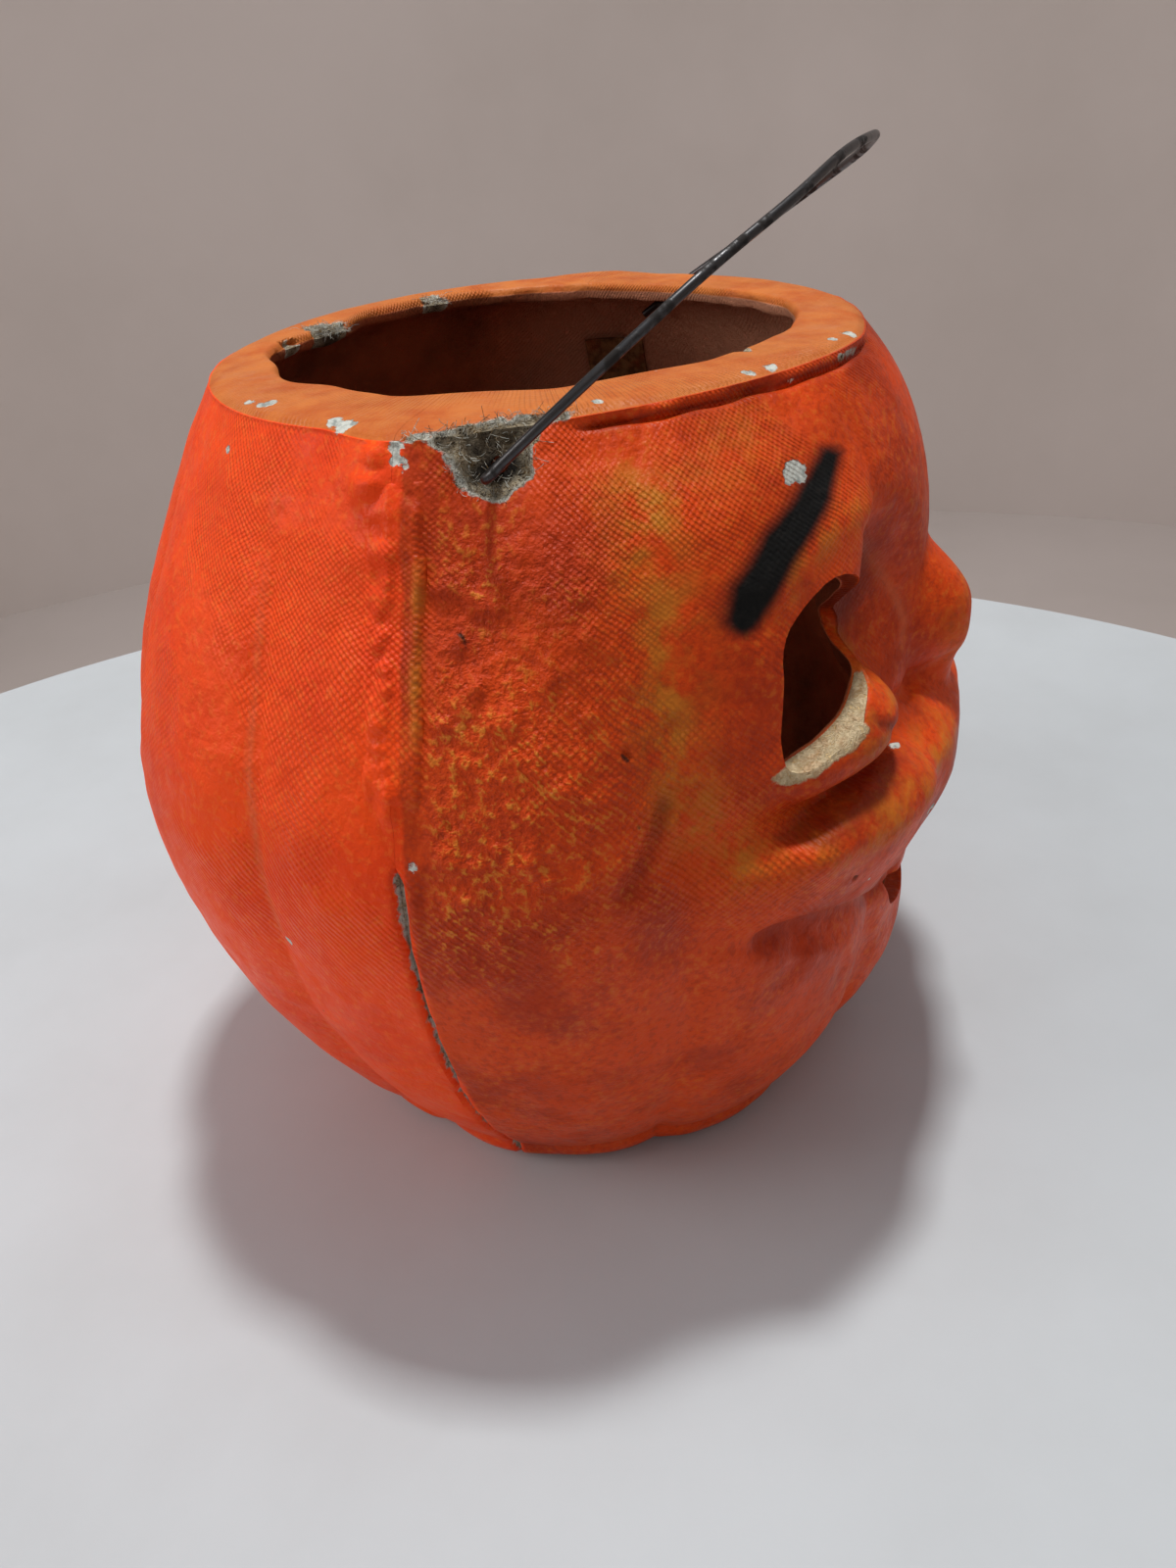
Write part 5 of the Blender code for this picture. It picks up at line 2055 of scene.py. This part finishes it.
    def breaks(self, skin: Socket) -> Socket:
        """Chips, pinholes dark with painted shade, and the bare edges of the eyes.

        Args:
            skin: Colour of the whole surface.

        Returns:
            The colour with its breaks.
        """
        tree, colours = self.tree, self.colours
        gesso = tree.mix(self.cloud(700.0, 4.0, 0.42, 0.66), colours.gesso, colours.gesso_dark)
        skin = tree.mix(self.chip, skin, gesso)
        # Painted shade in the pinholes.
        skin = tree.lay(skin, self.area("pinhole", 0.6, 700.0, 0.35), 0.9, colours.dark_pulp_and_shade)
        tone = tree.ramp(self.fibre["Tone"], 0.40, 0.66)
        cream = tree.mix(tone, colours.cream, colours.cream_dark)
        cream = tree.lay(cream, self.fibre["Relief"], 0.25, colours.gesso)
        return tree.mix(self.bare, skin, cream)

    def broken_pulp(self) -> Socket:
        """Torn grey pulp, pale along its edge, with painted shade deep in the tear, in the wire's
        holes and in the wire's pit.

        Returns:
            The colour.
        """
        tree, colours = self.tree, self.colours
        torn = tree.field("torn")
        pulp = tree.mix(tree.ramp(self.fibre["Tone"], 0.38, 0.62), colours.pulp, colours.dark_pulp_and_shade)
        pulp = tree.lay(pulp, self.fibre["Relief"], 0.65, colours.pulp_pale)
        # Painted shade deeper in the tear and on the wire's hole walls.
        pulp = tree.lay(pulp, tree.ramp(torn, OFFSET + 0.8, OFFSET + 3.0), 0.80, colours.dark_pulp_and_shade)
        fringe = tree.minus(1.0, tree.ramp(torn, OFFSET + 0.1, OFFSET + 0.8))
        fringe = tree.times(fringe, self.cloud(380.0, 3.0, 0.42, 0.56))
        pulp = tree.lay(pulp, fringe, 0.75, colours.gesso)
        # Painted shade in the wire's pit round the near hole.
        return tree.lay(pulp, tree.ramp(tree.field("pit"), 0.25, 0.75), 0.92, colours.pit_shade)

    def relief(self, matte: Socket) -> Socket:
        """Height of the fine relief, in metres.

        Args:
            matte: Share of the surface that has lost its paint.

        Returns:
            The height.
        """
        tree = self.tree
        grain = tree.times(self.noise(1500.0, 4.0), 0.00010)
        bumps = tree.times(self.noise(330.0, 3.0), 0.00055)
        coarse = tree.times(self.lumps, tree.plus(0.00013, tree.times(self.pimple, 0.00095)))
        bald = tree.minus(1.0, tree.times(self.brow, 0.65))
        screen = tree.times(self.weave, self.screen, 0.00020, bald)
        hairs = tree.times(self.fibre["Relief"], matte, 0.00030)
        rise = tree.plus(tree.plus(grain, tree.plus(bumps, coarse)), tree.plus(screen, hairs))
        return tree.minus(rise, tree.times(tree.math("MAXIMUM", self.chip, self.torn), 0.00018))

    def build(self) -> bpy.types.Material:
        """Lay everything over each other.

        Returns:
            The material.
        """
        tree = self.tree
        skin = tree.mix(self.depths, self.wear(self.coats()), self.inner_side())
        skin = tree.mix(self.torn, self.breaks(skin), self.broken_pulp())
        bare = tree.math("MAXIMUM", self.torn, self.bare)
        matte = tree.math("MAXIMUM", bare, tree.times(self.depths, 0.8))
        gloss = tree.blend(self.cloud(200.0, 3.0, 0.35, 0.7), 0.42, 0.62)
        rough = tree.blend(matte, tree.blend(self.brow, gloss, 0.72), 0.92)
        return self.blank.finish(skin, rough, self.blank.bump(self.relief(matte), 0.8))


@dataclass(frozen=True)
class AgedMetal:
    """Aged sheet metal or wire."""

    clean: Colour
    stained: Colour
    stain: float
    rough: float

    def make(self, name: str) -> bpy.types.Material:
        """Make the material.

        Args:
            name: Its name.

        Returns:
            The material.
        """
        blank = Blank(name)
        tree = blank.tree
        rust = tree.cloud(blank.place, 260.0, 6.0, self.stain, self.stain + 0.12)
        fine = tree.noise(tree.vector("MULTIPLY", blank.place, (900.0, 900.0, 200.0)), 1.0, 4.0)
        tone = tree.lay(self.clean, fine, 0.5, self.stained)
        colour = tree.lay(tone, rust, 0.85, self.stained)
        shine = tree.blend(rust, tree.blend(fine, self.rough, self.rough + 0.18), 0.8)
        tree.link(tree.blend(rust, 1.0, 0.25), blank.shader.inputs["Metallic"])
        rise = tree.plus(tree.times(fine, 0.00002), tree.times(rust, 0.00003))
        return blank.finish(colour, shine, blank.bump(rise))


@dataclass(frozen=True)
class LooseHairs:
    """Loose paper fibres, from grey-brown to almost white."""

    colours: PaintedPulp = PaintedPulp()

    def make(self, name: str) -> bpy.types.Material:
        """Make the material.

        Args:
            name: Its name.

        Returns:
            The material.
        """
        blank = Blank(name)
        tree = blank.tree
        tone = tree.cloud(blank.place, 900.0, 3.0, 0.36, 0.60)
        colour = tree.mix(tone, self.colours.pulp, self.colours.gesso)
        dusk = tree.cloud(blank.place, 330.0, 2.0, 0.45, 0.62)
        return blank.finish(tree.lay(colour, dusk, 0.6, self.colours.dark_pulp_and_shade), 0.9, None)


@dataclass(frozen=True)
class GummedPaper:
    """Brown gummed paper with overspray."""

    light: Colour = paint(150, 112, 74)
    dark: Colour = paint(104, 70, 42)
    spray: Colour = paint(176, 70, 30)

    def make(self, name: str, groups: GroupMaker) -> bpy.types.Material:
        """Make the material.

        Args:
            name: Its name.
            groups: The shared node groups.

        Returns:
            The material.
        """
        blank = Blank(name)
        tree = blank.tree
        fibre = tree.use(groups.fibre, place=blank.place)
        tone = tree.mix(tree.ramp(fibre.outputs["Tone"], 0.38, 0.64), self.light, self.dark)
        spray = tree.use(groups.mottle, place=blank.place, scale=70.0, low=0.45, high=0.62)
        tone = tree.lay(tone, spray.outputs[0], 0.7, self.spray)
        rise = tree.times(fibre.outputs["Relief"], 0.00008)
        return blank.finish(tone, 0.82, blank.bump(rise))


@dataclass(frozen=True)
class PlainBoard:
    """Board or paper of the table and the backdrop."""

    light: Colour
    dark: Colour
    scale: float

    def make(self, name: str, groups: GroupMaker) -> bpy.types.Material:
        """Make the material.

        Args:
            name: Its name.
            groups: The shared node groups.

        Returns:
            The material.
        """
        blank = Blank(name)
        tree = blank.tree
        clouds = tree.use(groups.mottle, place=blank.place, scale=self.scale, low=0.3, high=0.8)
        grain = tree.times(tree.noise(blank.place, 900.0, 2.0), 0.00002)
        colour = tree.mix(clouds.outputs[0], self.light, self.dark)
        return blank.finish(colour, 0.55, blank.bump(grain))


# ---- stage


@dataclass(frozen=True)
class Lamp:
    """A square area lamp that looks at the lantern."""

    name: str
    place: Triple
    size: float
    power: float
    colour: Triple

    def hang(self, target: Vector) -> None:
        """Add the lamp to the scene.

        Args:
            target: Place that it looks at.
        """
        lamp = bpy.data.lights.new(self.name, "AREA")
        lamp.size = self.size
        lamp.energy = self.power
        lamp.color = self.colour
        item = link(bpy.data.objects.new(self.name, lamp))
        item.location = self.place
        item.rotation_euler = (target - Vector(self.place)).to_track_quat("-Z", "Y").to_euler()


@dataclass
class Stage:
    """Table, backdrop, lamps and camera, in metres."""

    groups: GroupMaker
    shift: float
    azimuth: float = np.radians(-73.44)
    elevation: float = np.radians(31.3)
    roll: float = np.radians(-4.83)
    distance: float = 0.23663
    lens: float = 28.125
    sensor: float = 36.0
    aim: Triple = (-0.00151, -0.00437, 0.05232)
    table_radii: Pair = (0.283, 0.285)
    table_depth: float = 0.018
    table_middle: Triple = (-0.052, 0.003, -0.0092)
    table_bevel: float = 0.0012
    wall_radius: float = 1.6
    wall_height: float = 2.6
    wall_middle: float = 0.8
    floor_radius: float = 1.7
    floor_level: float = -0.45
    board: PlainBoard = PlainBoard(paint(196, 203, 208), paint(188, 194, 198), 12.0)
    paper: PlainBoard = PlainBoard(paint(216, 207, 203), paint(206, 197, 192), 2.0)
    room_colour: Colour = (0.94, 0.96, 1.0, 1.0)
    room_strength: float = 0.46
    lamps: tuple[Lamp, ...] = (
        Lamp("overhead", (0.193, -0.010, 1.30), 0.14, 11.2, (1.0, 0.985, 0.96)),
        Lamp("left", (-0.40, 0.75, 0.50), 0.45, 2.7, (1.0, 0.97, 0.94)),
        Lamp("front", (-0.85, -0.10, 0.85), 0.60, 0.4, (0.96, 0.98, 1.0)),
    )

    @property
    def target(self) -> Vector:
        """Place that the camera and the lamps look at."""
        return Vector(self.aim) + Vector((0, self.shift, 0))

    def build(self) -> None:
        """Set everything up."""
        self.table()
        self.backdrop()
        for lamp in self.lamps:
            lamp.hang(self.target)
        self.room()
        self.camera()

    def table(self) -> bpy.types.Object:
        """Round pale table top.

        Returns:
            The object.
        """
        top = bmesh.new()
        under, over = self.table_radii
        bmesh.ops.create_cone(
            top, cap_ends=True, segments=192, radius1=under, radius2=over, depth=self.table_depth,
            matrix=Matrix.Translation(self.table_middle),
        )
        edges = [edge for edge in top.edges if all(vert.co.z > -0.001 for vert in edge.verts)]
        bmesh.ops.bevel(
            top, geom=edges, offset=self.table_bevel, segments=3, profile=0.5, affect="EDGES",
            material=-1,
        )
        return self.piece("table_top", top, self.board.make("pale board", self.groups))

    def backdrop(self) -> bpy.types.Object:
        """Round wall and the floor in it.

        Returns:
            The object.
        """
        wall = bmesh.new()
        bmesh.ops.create_cone(
            wall, segments=128, radius1=self.wall_radius, radius2=self.wall_radius,
            depth=self.wall_height, matrix=Matrix.Translation((0, 0, self.wall_middle)),
        )
        bmesh.ops.create_circle(
            wall, cap_ends=True, segments=128, radius=self.floor_radius,
            matrix=Matrix.Translation((0, 0, self.floor_level)),
        )
        item = self.piece("backdrop", wall, self.paper.make("warm paper", self.groups))
        item.data.shade_smooth()
        return item

    @staticmethod
    def piece(
        name: str, form: bmesh.types.BMesh, material: bpy.types.Material
    ) -> bpy.types.Object:
        """Object of a finished form.

        Args:
            name: Name of the object.
            form: Its form, freed here.
            material: Its finish.

        Returns:
            The object.
        """
        mesh = bpy.data.meshes.new(name)
        form.to_mesh(mesh)
        form.free()
        mesh.materials.append(material)
        return link(bpy.data.objects.new(name, mesh))

    def room(self) -> None:
        """Dim even light from all round."""
        world = bpy.data.worlds.new("room")
        world.use_nodes = True
        back = world.node_tree.nodes["Background"]
        back.inputs["Color"].default_value = self.room_colour
        back.inputs["Strength"].default_value = self.room_strength
        bpy.context.scene.world = world

    def camera(self) -> None:
        """Camera at the photograph's angle."""
        azimuth, elevation, roll = self.azimuth, self.elevation, self.roll
        level = np.cos(elevation)
        back = Vector((np.sin(azimuth) * level, -np.cos(azimuth) * level, np.sin(elevation)))
        right = Vector((np.cos(azimuth), np.sin(azimuth), 0))
        up = back.cross(right)
        across = np.cos(roll) * right + np.sin(roll) * up
        upward = -np.sin(roll) * right + np.cos(roll) * up
        camera = bpy.data.cameras.new("camera")
        camera.lens = self.lens
        camera.sensor_width = self.sensor
        camera.clip_start = 0.01
        item = link(bpy.data.objects.new("camera", camera))
        turn = Matrix((across, upward, back)).transposed().to_4x4()
        item.matrix_world = Matrix.Translation(self.target + back * self.distance) @ turn
        scene = bpy.context.scene
        scene.camera = item
        scene.view_settings.view_transform = "Standard"


# ---- the object


class Lantern:
    """Puts the pieces together and hands them to the frame."""

    steel = AgedMetal(paint(84, 84, 86), paint(36, 32, 30), 0.50, 0.26)
    tin = AgedMetal(paint(188, 186, 180), paint(110, 92, 74), 0.56, 0.28)
    brass = AgedMetal(paint(196, 160, 90), paint(110, 84, 44), 0.54, 0.3)

    def __init__(self, frame: dict) -> None:
        """Args:
        """
        self.nodes = frame["nodes"]
        self.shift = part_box(Half.FRONT.value)[1].y + WALL_TO_SEAM * MM
        self.groups = GroupMaker()

    def build(self) -> None:
        """Build every piece."""
        pulp = PaintedPulp()
        for half, slot in ((Half.FRONT, Slot.FACE), (Half.REAR, Slot.REAR)):
            item = ShellBuilder(half, self.shift).build()
            self.dress(item, half.value, slot, pulp.make(slot.value, self.groups), "lantern")
        for node, slot, side in (
            ("seam_tape_near", Slot.NEAR_TAPE, 1), ("seam_tape_far", Slot.FAR_TAPE, -1),
        ):
            item = TapeBuilder(node, side, self.shift).build()
            self.dress(item, node, slot, pulp.make(slot.value, self.groups), "lantern")
        fibres = FibreBuilder(self.shift).build()
        fibres.data.materials.append(LooseHairs().make("torn fibres"))
        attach(fibres, "lantern")
        report(fibres)
        wire = WireBuilder(self.shift).build()
        self.dress(wire, "bail_wire", Slot.WIRE, self.steel.make(Slot.WIRE.value), "bail")
        self.carry_over()

    def carry_over(self) -> None:
        """Finish the CAD pieces that are shown as they are."""
        finishes = {
            "candle_tray": self.tin.make(Slot.TRAY.value),
            "candle_cup": self.tin.make(Slot.CUP.value),
            "split_rivet": self.brass.make(Slot.RIVET.value),
            "inner_seam_tape": GummedPaper().make(Slot.GUMMED.value, self.groups),
        }
        for node, material in finishes.items():
            item = self.nodes[node]
            item.data.materials.clear()
            item.data.materials.append(material)
            report(item)

    @staticmethod
    def dress(
        item: bpy.types.Object, node: str, slot: Slot, material: bpy.types.Material, body: str
    ) -> None:
        """Give a piece its finish and its place in the frame.

        Args:
            item: The piece.
            node: CAD node that it stands for.
            slot: The record's slot of its finish; not used.
            material: The finish.
            body: CAD body that it rides on.
        """
        item.data.materials.clear()
        item.data.materials.append(material)
        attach(item, body)
        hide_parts(node)
        report(item)


def report(item: bpy.types.Object) -> None:
    """Log a finished piece."""
    LOG.info("%s: %d faces", item.name, len(item.data.polygons))


def main() -> None:
    """Build the scene."""
    logging.basicConfig(level=logging.INFO)
    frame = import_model()
    lantern = Lantern(frame)
    lantern.build()
    Stage(lantern.groups, lantern.shift).build()


if __name__ == "__main__":
    main()
